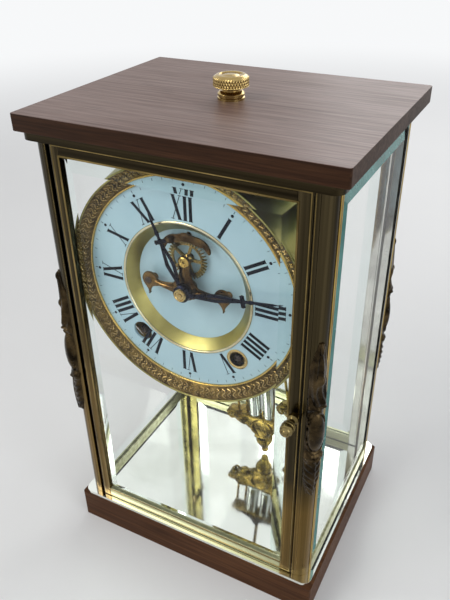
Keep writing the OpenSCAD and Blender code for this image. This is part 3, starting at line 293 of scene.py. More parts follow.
def adopt(obj, material, body, slot, *nodes):
    """Gives a piece its material, carries it on a body and puts it in place of CAD nodes."""
    obj.data.materials.clear()
    obj.data.materials.append(material)
    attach(obj, body)
    if nodes:
        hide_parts(*nodes)
    return obj


def mesh_object(name, bm, smooth_deg=35):
    """Mesh object in the scene from an edited mesh, smooth but for edges sharper than an angle."""
    mesh = bpy.data.meshes.new(name)
    bmesh.ops.recalc_face_normals(bm, faces=bm.faces)
    bm.to_mesh(mesh)
    bm.free()
    mesh.shade_smooth()
    mesh.set_sharp_from_angle(angle=math.radians(smooth_deg))
    return in_scene(name, mesh)


def baked(obj, name, smooth_deg=35):
    """Turns a curve, or a mesh with modifiers, into a plain mesh object."""
    bpy.context.view_layer.update()
    mesh = bpy.data.meshes.new_from_object(obj.evaluated_get(bpy.context.evaluated_depsgraph_get()))
    mesh.transform(obj.matrix_world)
    bpy.data.objects.remove(obj)
    bm = bmesh.new()
    bm.from_mesh(mesh)
    bpy.data.meshes.remove(mesh)
    bmesh.ops.remove_doubles(bm, verts=bm.verts, dist=2e-6)
    return mesh_object(name, bm, smooth_deg)


def welded(node):
    """A CAD node's mesh to work on, with its faces joined at their corners."""
    bm = bmesh.new()
    bm.from_mesh(NODES[node].data)
    bmesh.ops.remove_doubles(bm, verts=bm.verts, dist=1e-6)
    return bm


def stand_in(piece, material, node):
    """Puts a piece in place of one CAD node, on its body."""
    return adopt(piece, material, BODY_OF[node], SLOT_OF[node], node)


def dress(node, material, edge):
    """A CAD node's shape in a finer coat, with its sharp edges eased."""
    bm = welded(node)
    bmesh.ops.dissolve_limit(bm, angle_limit=math.radians(0.5), verts=bm.verts, edges=bm.edges)
    obj = mesh_object(node + "_dressed", bm)
    bevel = obj.modifiers.new("ease", "BEVEL")
    bevel.width = edge * MM
    bevel.segments = 2
    bevel.limit_method = "ANGLE"
    bevel.angle_limit = math.radians(40)
    return stand_in(baked(obj, node + "_piece", 20), material, node)


def join(name, pieces):
    """Several plain mesh objects as one."""
    bm = bmesh.new()
    for piece in pieces:
        bm.from_mesh(piece.data)
        mesh = piece.data
        bpy.data.objects.remove(piece)
        bpy.data.meshes.remove(mesh)
    return mesh_object(name, bm)


def smooth_loop(points, steps):
    """A closed smooth outline through a few points."""
    out = []
    count = len(points)
    for i in range(count):
        p0, p1, p2, p3 = (Vector(points[(i + k) % count]) for k in (-1, 0, 1, 2))
        for s in range(steps):
            t = s / steps
            out.append(0.5 * (2 * p1 + (p2 - p0) * t + (2 * p0 - 5 * p1 + 4 * p2 - p3) * t * t
                              + (3 * p1 - p0 - 3 * p2 + p3) * t ** 3))
    return [(p.x, p.y) for p in out]


def polar(r, degrees):
    """Point at a radius and an angle, counted from x towards y."""
    return r * math.cos(math.radians(degrees)), r * math.sin(math.radians(degrees))


def arc_profile(centre, r, start, end, steps=8):
    """Points along an arc between two angles in degrees."""
    points = [polar(r, start + (end - start) * i / steps) for i in range(steps + 1)]
    return [(centre[0] + x, centre[1] + y) for x, y in points]


def circle(r, at, steps):
    """Closed round outline."""
    return arc_profile(at, r, 0, 360, steps)[:-1]


def turned_by(points, degrees):
    """Outline turned clockwise, seen from the front."""
    c, s = math.cos(math.radians(degrees)), math.sin(math.radians(degrees))
    return [(x * c + y * s, y * c - x * s) for x, y in points]


def mirrored(half):
    """Closed outline from one half; points on the middle line aren't doubled."""
    return half + [(-x, y) for x, y in reversed(half) if x]


def shift(x, y, z):
    """Matrix that moves a piece by millimetres."""
    return Matrix.Translation(Vector((x, y, z)) * MM)


TO_FRONT = Matrix.Rotation(math.pi / 2, 4, "X")


def flat(name, loops, back, front, ease, at=(0, DIAL_Z)):
    """Sheet piece from outlines in front view, with eased edges; later loops are openings."""
    curve = bpy.data.curves.new(name, "CURVE")
    curve.dimensions = "2D"
    curve.fill_mode = "BOTH"
    curve.extrude = max((front - back) / 2 - ease, 0.001) * MM
    curve.bevel_depth = ease * MM
    curve.bevel_resolution = 1
    curve.offset = -ease * MM
    for loop in loops:
        spline = curve.splines.new("POLY")
        spline.points.add(len(loop) - 1)
        for point, (x, y) in zip(spline.points, loop):
            point.co = (x * MM, y * MM, 0, 1)
        spline.use_cyclic_u = True
    obj = in_scene(name, curve)
    obj.matrix_world = shift(at[0], -(back + front) / 2, at[1]) @ TO_FRONT
    return baked(obj, name)


def lathe(name, profile, place, steps, radius_at=None):
    """Turned piece from (radius, height) points about its own Z, put in place by a matrix.
    radius_at(angle, radius, height) may knurl it."""
    bm = bmesh.new()
    rings = []
    angles = [2 * math.pi * i / steps for i in range(steps)]
    for r, h in profile:
        ring = []
        for a in angles if r else angles[:1]:
            rr = radius_at(a, r, h) if radius_at else r
            ring.append(bm.verts.new((rr * math.cos(a) * MM, rr * math.sin(a) * MM, h * MM)))
        rings.append(ring)
    for low, high in zip(rings, rings[1:]):
        for i in range(steps):
            j = (i + 1) % steps
            quad = low[i % len(low)], low[j % len(low)], high[j % len(high)], high[i % len(high)]
            face = list(dict.fromkeys(quad))
            if len(face) > 2:
                bm.faces.new(face)
    bm.transform(place)
    return mesh_object(name, bm)


def facing(x, z):
    """Matrix that takes a turned piece's Z to the front, at a place on the dial side."""
    return shift(x, 0, z) @ TO_FRONT


ON_DIAL = facing(0, DIAL_Z)


def raised(profile, base):
    """Profile of (radius, height) points moved along its axis."""
    return [(r, base + h) for r, h in profile]


def inside(steps, r, h):
    """Profile from how far each point lies inside a radius and above a height."""
    return [(r - step, h + rise) for step, rise in steps]


def skin(bm, rings):
    """Walls between rings of as many points, and a cap on each end."""
    for one, two in zip(rings, rings[1:]):
        for k in range(len(one)):
            n = (k + 1) % len(one)
            bm.faces.new((one[k], one[n], two[n], two[k]))
    bm.faces.new(rings[0])
    bm.faces.new(rings[-1])


def tube(name, path, radius, sides):
    """Round wire along a path of points in millimetres; radius is a number or a function of 0 to 1."""
    bm = bmesh.new()
    rings = []
    points = [Vector(p) for p in path]
    side = None
    for i, p in enumerate(points):
        way = (points[min(i + 1, len(points) - 1)] - points[max(i - 1, 0)]).normalized()
        side = way.orthogonal().normalized() if side is None else (side - way * side.dot(way)).normalized()
        other = way.cross(side)
        r = radius(i / (len(points) - 1)) if callable(radius) else radius
        rings.append([bm.verts.new((p + r * (math.cos(a) * side + math.sin(a) * other)) * MM)
                      for a in (2 * math.pi * k / sides for k in range(sides))])
    skin(bm, rings)
    return mesh_object(name, bm)


def swelling(ends, middle):
    """Radius of a wire that grows from its ends towards its middle."""
    return lambda t: ends + middle * math.sin(math.pi * t)


# Case
CORNERS = ("front_left", "front_right", "rear_left", "rear_right")
FRAME_EASE = 0.35


def coat(piece, material, chosen):
    """A second material on the faces whose normals are chosen, painting shade or reflection on one side of a
    piece.
    """
    piece.data.materials.append(material)
    for face in piece.data.polygons:
        if chosen(face.normal):
            face.material_index = 1


def faces_inward(normal):
    """Whether a face at the back of the case looks into it."""
    return normal.y < -0.6


def corner_of(post):
    """Signs of a post's corner, right and rear, and its inner and outer corner in plan."""
    low, high = box_mm(post)
    right, rear = (1 if low.x > 0 else -1), (1 if low.y > 0 else -1)
    inner = (low.x if right > 0 else high.x), (low.y if rear > 0 else high.y)
    outer = (high.x if right > 0 else low.x), (high.y if rear > 0 else low.y)
    return right, rear, inner, outer


dress("base_board", BASE_WOOD, edge=0.8)
# The top board's upright faces take the darker wood: painted shade.
coat(dress("top_board", TOP_WOOD, edge=0.6), TOP_SIDE_SHADE, lambda normal: abs(normal.z) < 0.6)
dress("base_plate", BASE_MIRROR, edge=0.8)
dress("roof_plate", RAIL_BRASS, edge=0.9)
for corner in CORNERS:
    post = dress("post_" + corner, LOCK_BRASS if corner == "front_right" else FRAME_BRASS, FRAME_EASE)
    # A rear post's faces that look into the case take painted reflection, pale on the right and olive on the left.
    if corner.startswith("rear"):
        coat(post, PALE_INWARD_REFLECTION if corner == "rear_right" else OLIVE_INWARD_REFLECTION, faces_inward)
dress("side_rails", RAIL_BRASS, edge=0.3)

# Gold lines along the posts, half sunk: one beside the door and two beside the pane
LINE_SINK, LINE_END = 0.3, 0.1
for corner in CORNERS:
    post = "post_" + corner
    low, high = box_mm(post)
    right, rear, (inner_x, inner_y), (outer_x, outer_y) = corner_of(post)
    by_pane = outer_x - LINE_SINK * right
    places = ((inner_x + 0.6 * right, outer_y - LINE_SINK * rear, 0.32),
              (by_pane, inner_y + 0.7 * rear, 0.5), (by_pane, inner_y + 2.3 * rear, 0.42))
    gold = [tube("bead", [(x, y, low.z + LINE_END), (x, y, high.z - LINE_END)], r, 8) for x, y, r in places]
    adopt(join("post_beads_" + corner, gold), GOLD_LINE, "case", SLOT_OF[post])
for side in ("front", "rear"):
    for part, brass in (("hinge_stile", FRAME_BRASS), ("lock_stile", LOCK_BRASS), ("rails", RAIL_BRASS)):
        piece = dress(f"{side}_{part}", brass, FRAME_EASE)
        # A rear stile's faces that look into the case take painted reflection, pale on the hinge side and olive on
        # the lock side.
        if side == "rear" and part != "rails":
            coat(piece, PALE_INWARD_REFLECTION if part == "hinge_stile" else OLIVE_INWARD_REFLECTION, faces_inward)

# Panes: their materials in the order of these indices, and how far in a ground bevel reaches
CLEAR, BEVEL, EDGE, TEAL = range(4)
GROUND_W = 12 * MM


def glaze(node):
    """Pane with clear faces, tinted bevels and green edges; a side pane's front and top bevels get a painted teal
    for light seen through the glass's length.
    """
    low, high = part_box(node)
    thin = min(range(3), key=lambda i: high[i] - low[i])
    front, top = low.y + GROUND_W, high.z - GROUND_W
    pane = stand_in(mesh_object(node + "_cut", welded(node), 1), CLEAR_GLASS, node)
    for material in (BEVEL_GLASS, EDGE_GLASS, TEAL_GROUND):
        pane.data.materials.append(material)
    for face in pane.data.polygons:
        along = abs(face.normal[thin])
        face.material_index = CLEAR if along > 0.9999 else BEVEL if along > 0.5 else EDGE
        # Only the bevels facing the front and the top take the painted teal.
        shown = face.center.y < front or face.center.z > top
        if node.startswith("side") and face.material_index == BEVEL and shown:
            face.material_index = TEAL


for pane in ("front_glass", "rear_glass", "side_glass_left", "side_glass_right"):
    glaze(pane)

# Door mouldings
stile_low, stile_high = box_mm("front_lock_stile")
DOOR_FWD = -stile_low.y
BEAD_SINK, BEAD_PROUD, FLUSH = 0.4, 0.3, 0.01


def bead_frame(name, side, hinge_x, lock_x, low, high, width):
    """Thin raised frame on a door's face, flush on the hinge stile, which turns close by the post."""
    outer = [(-hinge_x, low), (lock_x, low), (lock_x, high), (-hinge_x, high)]
    inner = [(x - math.copysign(width, x), y + (width if y == low else -width)) for x, y in outer]
    obj = flat(name, [outer, inner], DOOR_FWD - BEAD_SINK, DOOR_FWD + BEAD_PROUD, 0.25, (0, 0))
    for vert in obj.data.vertices:
        if vert.co.x < 0:
            vert.co.y = max(vert.co.y, -(DOOR_FWD + FLUSH) * MM)
    if side == "rear":
        obj.data.transform(Matrix.Rotation(math.pi, 4, "Z"))
    return adopt(obj, BEAD_BRASS, BODY_OF[side + "_rails"], SLOT_OF[side + "_rails"])


RAIL_H = 6.5
INNER_IN, OUTER_IN, HINGE_IN = 1.1, 0.6, 2.6  # how far the frames lie in from the stiles' edges
for side in ("front", "rear"):
    inner_x = stile_low.x + INNER_IN
    bead_frame(side + "_inner_bead", side, inner_x, inner_x, stile_low.z + RAIL_H - INNER_IN,
               stile_high.z - RAIL_H + INNER_IN, width=1.0)
    bead_frame(side + "_outer_bead", side, stile_high.x - HINGE_IN, stile_high.x - OUTER_IN,
               stile_low.z + OUTER_IN, stile_high.z - OUTER_IN, width=0.7)

# Door knobs: shaft, flange, rings and domed end as (radius, forward) points, and the latch tongue behind
SHAFT_R, SHAFT_LEN, TONGUE_T, KNOB_R = 1.5, 10.8, 1.5, 3.6
KNOB = [(0, -SHAFT_LEN), (SHAFT_R, -SHAFT_LEN), (SHAFT_R, 0), (2.9, 0), (2.9, 0.9), (2.2, 1.4), (1.6, 1.9),
        (1.5, 3.4), (2.1, 4.1), (2.9, 4.4), (3.3, 4.9), (3.3, 5.3), (2.8, 5.6), (2.8, 5.9), (3.4, 6.2),
        (KNOB_R, 6.8), (3.4, 7.3), (2.9, 7.5), (2.9, 7.8), (3.4, 8.1), (3.5, 8.7), (3.3, 9.4), (2.7, 9.8),
        (2.6, 10.1), (2.9, 10.4), (2.6, 11.0), (1.8, 11.4), (1.6, 11.2), (1.2, 11.7), (0.6, 11.95), (0, 12)]
TONGUE = mirrored([(0.9, -6.3), (1.5, -5.6), (1.5, 0), (2, 1), (1, 2.2)])
knob_low, knob_high = box_mm("front_knob")
KNOB_X, KNOB_Z = (knob_low.x + knob_high.x) / 2, knob_high.z - KNOB_R
tongue_back = DOOR_FWD - SHAFT_LEN
for side, turn in (("front", 0), ("rear", math.pi)):
    about = Matrix.Rotation(turn, 4, "Z")
    knob = lathe("knob", raised(KNOB, DOOR_FWD), about @ facing(KNOB_X, KNOB_Z), 64)
    tongue = flat("tongue", [TONGUE], tongue_back, tongue_back + TONGUE_T, 0.2, (KNOB_X, KNOB_Z))
    tongue.data.transform(about)
    stand_in(join(side + "_turn_knob", [knob, tongue]), KNOB_BRASS, side + "_knob")

# Top knob and its collar
head_low, head_high = box_mm("top_knob")
HEAD_R, HEAD_TOP = radius_mm("top_knob"), head_high.z
KNURLS, KNURL_DEPTH, KNURL_LEAN = 40, 0.22, 2.4


def knurl(angle, r, h):
    """Diamond knurl on the rim of the top knob."""
    if r < HEAD_R - 0.45 or h > HEAD_TOP - 1.3 or h < HEAD_TOP - 5.3:
        return r
    lean = KNURL_LEAN * (h - HEAD_TOP)
    diamond = max(math.cos(KNURLS * angle + lean), math.cos(KNURLS * angle - lean))
    return r - KNURL_DEPTH + KNURL_DEPTH * diamond


stud = [(0, head_low.z), (2, head_low.z)]
neck = raised([(2, -7.7), (4.4, -7.7), (4.4, -6.9), (4.0, -6.5), (4.3, -6.0), (7.6, -5.9), (8.3, -5.7)],
              HEAD_TOP)
rim = [(HEAD_R - 0.05, HEAD_TOP - 5.4 + 0.33 * i) for i in range(13)]
dome = inside([(0.5, -1.0), (1.6, -0.3), (2.2, -0.1), (3, -0.15), (3.3, -0.5), (5, -0.45), (5.3, -0.25)],
              HEAD_R, HEAD_TOP) + raised([(0.8, -0.1), (0, -0.1)], HEAD_TOP)
top_knob = lathe("top_knob_turned", stud + neck + rim + dome, Matrix.Identity(4), 240, knurl)
stand_in(top_knob, POLISHED, "top_knob")
collar_low, collar_high = box_mm("top_collar")
collar_r, bore = collar_high.x, 2.05
foot = inside([(0, 0), (0, 1.0), (0.5, 1.3), (0.5, 1.7), (0.1, 2.0), (0.1, 2.8)], collar_r, collar_low.z)
brow = inside([(0.9, -0.2), (1.3, 0)], collar_r, collar_high.z)
collar = [(bore, collar_low.z), *foot, *brow, (bore, collar_high.z), (bore, collar_low.z)]
stand_in(lathe("collar_turned", collar, Matrix.Identity(4), 96), POLISHED, "top_collar")

# Corner ornaments: relief over the round of a post, by heights up from the lower tip
POST_STRIP, POST_R, CASTING_BACK_R, HALF_DEG = 2.5, 6.0, 5.5, 47
LEAF_TOP, BEADS_UP, MOULDING_UP, CURL_UP, STEM_LOW, STEM_HIGH, ORNAMENT_H = 26, 27.2, 59, 69, 60, 94, 95
OVAL_UP, OVAL_H, OVAL_W = 43.2, 12.4, 0.72
BUD_UP, BUD_H, BUD_W = 92.6, 3.3, 0.4


def hump(x, centre, reach):
    """Round rise from 0 to 1 and back, about a centre."""
    return max(0.0, 1 - ((x - centre) / reach) ** 2)


def ornament_relief(a, z):
    """Height in millimetres over the post, at a from -1 to 1 across and z up from the lower tip."""
    sides = 1 - abs(a) ** 8
    h = 0.7
    if z < LEAF_TOP:
        spread = 0.62 + 0.38 * math.sin(math.pi * min(z / 20, 1) * 0.5)
        blade = hump(a, 0, spread)
        h += blade * (0.6 + 1.5 * math.sin(math.pi * (0.12 + 0.7 * z / LEAF_TOP)))
        h += 0.45 * blade * math.cos(2 * math.pi * (0.24 * z - 1.3 * abs(a))) * min(1, 3 * abs(a))
        h += 0.6 * hump(a, 0, 0.14)
    h += 1.9 * hump(z, BEADS_UP, 3.0) + 0.7 * hump(z, BEADS_UP, 1.5) * abs(math.cos(3.5 * math.pi * a))
    oval = math.hypot((z - OVAL_UP) / OVAL_H, a / OVAL_W)
    if oval < 1:
        h = max(h, 1.5 + 2.9 * math.sqrt(1 - oval * oval))
    h = max(h, 0.8 + 1.9 * hump(oval, 1.1, 0.12))
    h += 2.0 * hump(z, MOULDING_UP, 2.2) * (1 - 0.35 * abs(a)) + 0.5 * hump(z, MOULDING_UP - 2, 0.9)
    if STEM_LOW < z < STEM_HIGH:
        rise = (z - STEM_LOW) / (STEM_HIGH - STEM_LOW)
        stem = hump(a, 0.08, 1.0 - 0.5 * rise)
        h += stem * (2.0 - 1.3 * rise)
        h += 0.6 * stem * math.cos(2 * math.pi * (1.7 * a - 0.035 * z + 0.3 * math.sin(0.16 * z)))
        curl = math.hypot(7 * (a + 0.25), 0.62 * (z - CURL_UP))
        h += 0.9 * hump(curl, 4.2, 1.3) - 0.6 * hump(curl, 0, 2.6)
    bud = 1 - ((z - BUD_UP) / BUD_H) ** 2 - (a / BUD_W) ** 2
    if bud > 0:
        h = max(h, 2.6 * math.sqrt(bud))
    return max(0.25, min(h, 4.5) * sides)


def ornament_width(z):
    """Part of the post's round that the casting covers, narrow at its two tips."""
    return min(1, 0.5 + 0.5 * z / 12, 0.3 + 0.7 * (ORNAMENT_H - z) / 13)


def ornament(name, post):
    """Loft of relief rows, closed at the back inside the post, in the corner of the post named."""
    rows, columns = 150, 26
    right, rear, (inner_x, inner_y), _ = corner_of(post)
    hub_x, hub_y = inner_x + right * POST_STRIP, inner_y + rear * POST_STRIP
    z_low, z_high = (corner.z for corner in box_mm("corner_ornaments"))
    bm = bmesh.new()
    rings = []
    for i in range(rows + 1):
        z = (z_high - z_low) * i / rows
        reach = HALF_DEG * ornament_width(z)
        across = [-1 + 2 * j / columns for j in range(columns + 1)]
        ring = [polar(POST_R + ornament_relief(a, z), 45 + reach * a) for a in across]
        ring += [polar(CASTING_BACK_R, angle) for angle in (45 + reach, 45, 45 - reach)]
        places = [(hub_x + right * x, hub_y + rear * y, z_low + z) for x, y in ring]
        rings.append([bm.verts.new(Vector(place) * MM) for place in places])
    skin(bm, rings)
    return mesh_object(name, bm, 50)


for corner in CORNERS:
    stand_in(ornament("ornament_" + corner, "post_" + corner), BRONZE, "corner_ornaments")

# Dial
SCROLLS, DIAL_STEPS = 112, 160
band_in, band_out = Vector((CHAPTER_R + 1.2, DIAL_FWD + 0.8)), Vector((BEZEL_R - 0.9, BEZEL_FWD - 0.8))
band_slope = (band_out - band_in).normalized()


def on_band(turn, across, lift):
    """Point on the bezel's slope: turns round the dial, 0 to 1 across the band and a lift above it."""
    p = band_in.lerp(band_out, across) + lift * Vector((-band_slope.y, band_slope.x))
    return p.x * math.sin(2 * math.pi * turn), -p.y, DIAL_Z + p.x * math.cos(2 * math.pi * turn)


def scroll(at):
    """Raised S across the band, with a small bud in each of its bends."""
    line = [on_band((at + 0.3 * math.sin(1.3 * math.pi * t)) / SCROLLS, 0.5 + 0.38 * t, 0.1)
            for t in (-1 + k / 6 for k in range(13))]
    pieces = [tube("scroll", line, swelling(0.24, 0.16), 6)]
    for way in (-1, 1):
        bud = [on_band((at - 0.22 * way) / SCROLLS, 0.5 + (0.16 + 0.03 * k) * way, 0.1) for k in range(-2, 3)]
        pieces.append(tube("bud", bud, swelling(0.12, 0.34), 6))
    return pieces


def ring_on_dial(name, profile, material, slot, *nodes):
    """Turned ring about the dial's centre, from its (radius, forward) outline."""
    return adopt(lathe(name, profile + profile[:1], ON_DIAL, DIAL_STEPS), material, "case", slot, *nodes)


ring_on_dial("bezel_band", [(CHAPTER_R + 0.6, DIAL_FWD), band_in, band_out, (BEZEL_R - 0.9, DIAL_FWD)],
             BEZEL_GROUND, "gilt_bezel", "dial_bezel")
scrolls = [piece for i in range(SCROLLS) for piece in scroll(i + 0.5)]
adopt(join("bezel_scrolls", scrolls), GILT, "case", "gilt_bezel")
lip = arc_profile((CHAPTER_R + 0.4, DIAL_FWD + 0.6), 0.6, 180, 20)
lip_ends = (CHAPTER_R + 1.1, DIAL_FWD + 0.7), (CHAPTER_R + 1.4, DIAL_FWD + 0.4)
ring_on_dial("bezel_lips", [(CHAPTER_R - 0.2, DIAL_FWD), *lip, *lip_ends], GOLD_LINE, "gilt_bezel")
drum_edge = arc_profile((BEZEL_R - 0.5, BEZEL_FWD - 0.5), 0.5, 150, 0)
drum_wall = inside([(0, -1.4), (0.25, -1.7)], BEZEL_R, BEZEL_FWD)
drum_foot = inside([(0.25, 1.2), (0, 0.8), (0, 0), (1, 0)], BEZEL_R, DRUM_BACK)
ring_on_dial("bezel_drum", [(BEZEL_R - 0.9, BEZEL_FWD - 0.9), *drum_edge, *drum_wall, *drum_foot,
                            (BEZEL_R - 1, BEZEL_FWD - 1.8)], SATIN_BRASS, "gilt_bezel")

floor_r = radius_mm("dial_centre") - 1.1
slope = [(floor_r, FLOOR_FWD), (floor_r + 0.3, FLOOR_FWD + 0.5), (WELL_R - 0.9, DIAL_FWD - 0.2),
         (WELL_R - 0.2, DIAL_FWD - 0.2), (floor_r + 1.1, FLOOR_FWD)]
ring_on_dial("well_slope", slope, SATIN_BRASS, "polished_brass", "dial_well")
well_edge = arc_profile((WELL_R, DIAL_FWD - 0.1), 0.75, 190, 0)
ring_on_dial("well_rim", [(WELL_R - 0.9, DIAL_FWD - 0.3), *well_edge, (WELL_R + 0.9, DIAL_FWD)], RIM_BRASS,
             "polished_brass")

# Numerals: thick strokes, hairlines and serifs standing on the inner circle
NUMERALS = ["XII", "I", "II", "III", "IIII", "V", "VI", "VII", "VIII", "IX", "X", "XI"]
NUMERAL_LOW, NUMERAL_HIGH = 37.9, 50.2
THICK, HAIR, SERIF = 1.75, 0.38, 0.34
ADVANCE = {"I": 2.9, "V": 6.2, "X": 6.4}
DOT_UP, DOT_R = 52.3, 0.8
TICK_LOW, TICK_HIGH, TICK_W, HOUR_TICK_W = 53.6, 55.0, 0.24, 0.34
INK_FWD, INK_EASE = DIAL_FWD + 0.06, 0.01


def stroke(x0, x1, width, low=NUMERAL_LOW, high=NUMERAL_HIGH):
    """Slanted stroke from the foot at x0 to the head at x1."""
    return [(x0 - width / 2, low), (x0 + width / 2, low), (x1 + width / 2, high), (x1 - width / 2, high)]


def serif(x, width, head):
    """Short bar across the head or the foot of a stroke."""
    y = NUMERAL_HIGH - SERIF if head else NUMERAL_LOW
    return stroke(x, x, width, y, y + SERIF)


def letter(kind, x):
    """Outlines of one letter about the line x."""
    if kind == "I":
        return [stroke(x, x, THICK), serif(x, 2.3, True), serif(x, 2.3, False)]
    if kind == "V":
        return [stroke(x + 0.1, x - 1.9, THICK), stroke(x + 0.4, x + 2.2, HAIR), serif(x - 1.9, 2.4, True),
                serif(x + 2.2, 1.9, True)]
    return [stroke(x + 1.8, x - 1.8, THICK), stroke(x - 2.1, x + 2.1, HAIR), serif(x - 1.8, 2.4, True),
            serif(x + 2.1, 1.9, True), serif(x + 1.8, 2.4, False), serif(x - 2.1, 1.9, False)]


def ink(loop, degrees):
    """An outline of ink on the dial, turned round it."""
    return flat("ink", [turned_by(loop, degrees)], DIAL_FWD, INK_FWD, INK_EASE)


prints = []
for hour, word in enumerate(NUMERALS):
    x = -sum(ADVANCE[c] for c in word) / 2
    for c in word:
        prints += [ink(loop, 30 * hour) for loop in letter(c, x + ADVANCE[c] / 2)]
        x += ADVANCE[c]
for minute in range(60):
    five = minute % 5 == 0
    if five:
        prints.append(ink(circle(DOT_R, (0, DOT_UP), 20), 6 * minute))
    tick = stroke(0, 0, HOUR_TICK_W if five else TICK_W, TICK_LOW, TICK_HIGH)
    prints.append(ink(tick, 6 * minute))
adopt(join("dial_print", prints), INK, "case", "white_enamel")

# Hands: pierced blade, cross with round lobes and a slim pointer, on a deep boss
LOBES = [(-0.95, -2.4), (-0.75, -1.2), (-2.1, -1.0), (-3.0, -1.2), (-3.5, 0), (-3.0, 1.2), (-2.1, 1.0),
         (-0.8, 1.2), (-0.6, 2.6), (-1.1, 4.4), (-0.65, 6.2)]
SHOWN_MINUTES = 13.5


def hand(name, node, degrees, length, cross, wide, hole, boss):
    """A hand at its shown angle; boss is its hub's reach behind and before the sheet."""
    wide_at = cross * 0.56
    blade = [(-1.5, 3.5), (-1.2, cross * 0.22), (-wide, wide_at), *raised(LOBES, cross), (-0.5, length - 4),
             (0, length)]
    slit = max(0.45, wide - 1.9)
    opening = [(0, cross * 0.3), (-slit, wide_at), (0, cross - 4), (slit, wide_at)]
    low, high = box_mm(node)
    back, front = -high.y, -low.y
    hub_back, hub_front = back - boss[0], front + boss[1]
    hub = [(hole, hub_back), (4.2, hub_back), (4.4, hub_back + 0.3), (4.4, hub_front - 0.3), (4.1, hub_front),
           (hole, hub_front), (hole, hub_back)]
    loops = [turned_by(loop, degrees) for loop in (mirrored(blade), opening)]
    pieces = [flat("blade", loops, back, front, 0.12), lathe("boss", hub, ON_DIAL, 64)]
    return stand_in(join(name, pieces), BLUED, node)


hand("minute_hand_pierced", "minute_hand", 6 * SHOWN_MINUTES,
     length=53, cross=34, wide=2.2, hole=2.02, boss=(0, 0.1))
hand("hour_hand_pierced", "hour_hand", SHOWN_MINUTES / 2 - 30,
     length=43, cross=28, wide=2.9, hole=3.02, boss=(1.2, 0.9))
nut_low, nut_high = box_mm("hand_nut")
nut_back, nut_front, nut_r = -nut_high.y, -nut_low.y, nut_high.x
nut_foot = inside([(0, 0), (0, 0.5), (0.25, 0.65), (0, 0.8)], nut_r, nut_back)
nut_edge = inside([(0.1, -0.3), (0.5, -0.1), (0.8, -0.1), (1.1, -0.6)], nut_r, nut_front)
nut_button = raised([(1.2, -0.65), (1.0, -0.2), (0.5, 0), (0, 0)], nut_front)
nut = lathe("hand_nut_turned", [(0, nut_back), *nut_foot, *nut_edge, *nut_button], ON_DIAL, 64)
stand_in(nut, POLISHED, "hand_nut")

# Escape bridge: two spade-ended arms, a ring round the hands and an upper arm with the escape arbor's setting
BRIDGE_FWD = -box_mm("escape_bridge")[0].y
BRIDGE_T, BRIDGE_EASE, SPADE_X = 1.6, 0.6, 21.3
wheel_low, wheel_high = box_mm("escape_wheel")
ESCAPE_UP = (wheel_low.z + wheel_high.z) / 2 - DIAL_Z
arm = [(4.0, 3.6), (7.5, 2.6), (11.5, 1.9), (15.6, 1.9), (17.2, 4.0), (19.6, 5.6), (22.8, 5.2), (24.9, 2.4),
       (24.8, -0.4), (23.4, -2.6), (22.1, -4.6), (SPADE_X, -7.4), (20.4, -4.6), (18.9, -2.6), (16.6, -1.7),
       (14.5, -1.3), (10.5, -2.1), (6.5, -3.0), (4.0, -3.8)]
leg = [(10.8, 0.6), (7.4, 2.6), (4.9, 5.4), (3.4, 8.8), (2.8, ESCAPE_UP - 4.4), (3.4, ESCAPE_UP - 1.6),
       (3.1, ESCAPE_UP + 1.5)]
crown = mirrored([(-x, y) for x, y in leg] + [(0, ESCAPE_UP + 3.2)])
foot = raised([(0, 0), (2.1, 0), (1.9, 0.5), (1.5, 0.9)], FLOOR_FWD)
foot += raised([(1.5, -1), (0, -1)], BRIDGE_FWD)
screw = raised([(0, -1), (1.9, -1), (1.9, 0.3), (1.5, 0.6), (0, 0.6)], BRIDGE_FWD)
ring = raised([(3.35, -BRIDGE_T), (5.6, -BRIDGE_T), (5.6, -0.4), (5.1, 0.2), (3.9, 0.2), (3.35, -0.3),
               (3.35, -BRIDGE_T)], BRIDGE_FWD)
setting = raised([(0.75, -0.6), (2.9, -0.6), (2.9, 0.2), (2.4, 0.6), (1.9, 0.6), (1.5, 0.1), (0.75, 0),
                  (0.75, -0.6)], BRIDGE_FWD)
pieces, screws = [], []
ridges = [[(0, y) for y in (6.5, 9, 11.5, ESCAPE_UP - 2.6)]]
for mirror in (1, -1):
    outline = smooth_loop([(mirror * x, y) for x, y in arm], 5)
    pieces.append(flat("arm", [outline], BRIDGE_FWD - BRIDGE_T, BRIDGE_FWD, BRIDGE_EASE))
    pieces.append(lathe("foot", foot, facing(mirror * SPADE_X, DIAL_Z), 32))
    screws.append(lathe("screw", screw, facing(mirror * SPADE_X, DIAL_Z + 1), 32))
    ridges.append([(mirror * x, y) for x, y in ((6.5, 0.2), (10, 0), (14, 0.3), (17.5, 1.2))])
pieces.append(flat("crown", [smooth_loop(crown, 5), circle(1.3, (0, ESCAPE_UP), 24)],
                   BRIDGE_FWD - BRIDGE_T + 0.02, BRIDGE_FWD - 0.02, BRIDGE_EASE))
pieces.append(lathe("ring", ring, ON_DIAL, 64))
for line in ridges:
    path = [(x, -BRIDGE_FWD + 0.1, DIAL_Z + y) for x, y in line]
    pieces.append(tube("ridge", path, swelling(0.35, 0.75), 10))
stand_in(join("escape_bridge_cast", pieces), BRIDGE_BRONZE, "escape_bridge")
adopt(join("escape_bridge_screws", screws), DARK_STEEL, "case", "bronze_ornament")
adopt(lathe("escape_jewel_setting", setting, facing(0, DIAL_Z + ESCAPE_UP), 48), GOLD_LINE, "case",
      "bronze_ornament")

# Escape wheel with its teeth cut deeper than the solid's
TOOTH_DEPTH, LONG_TOOTH = 1.6, 2.5


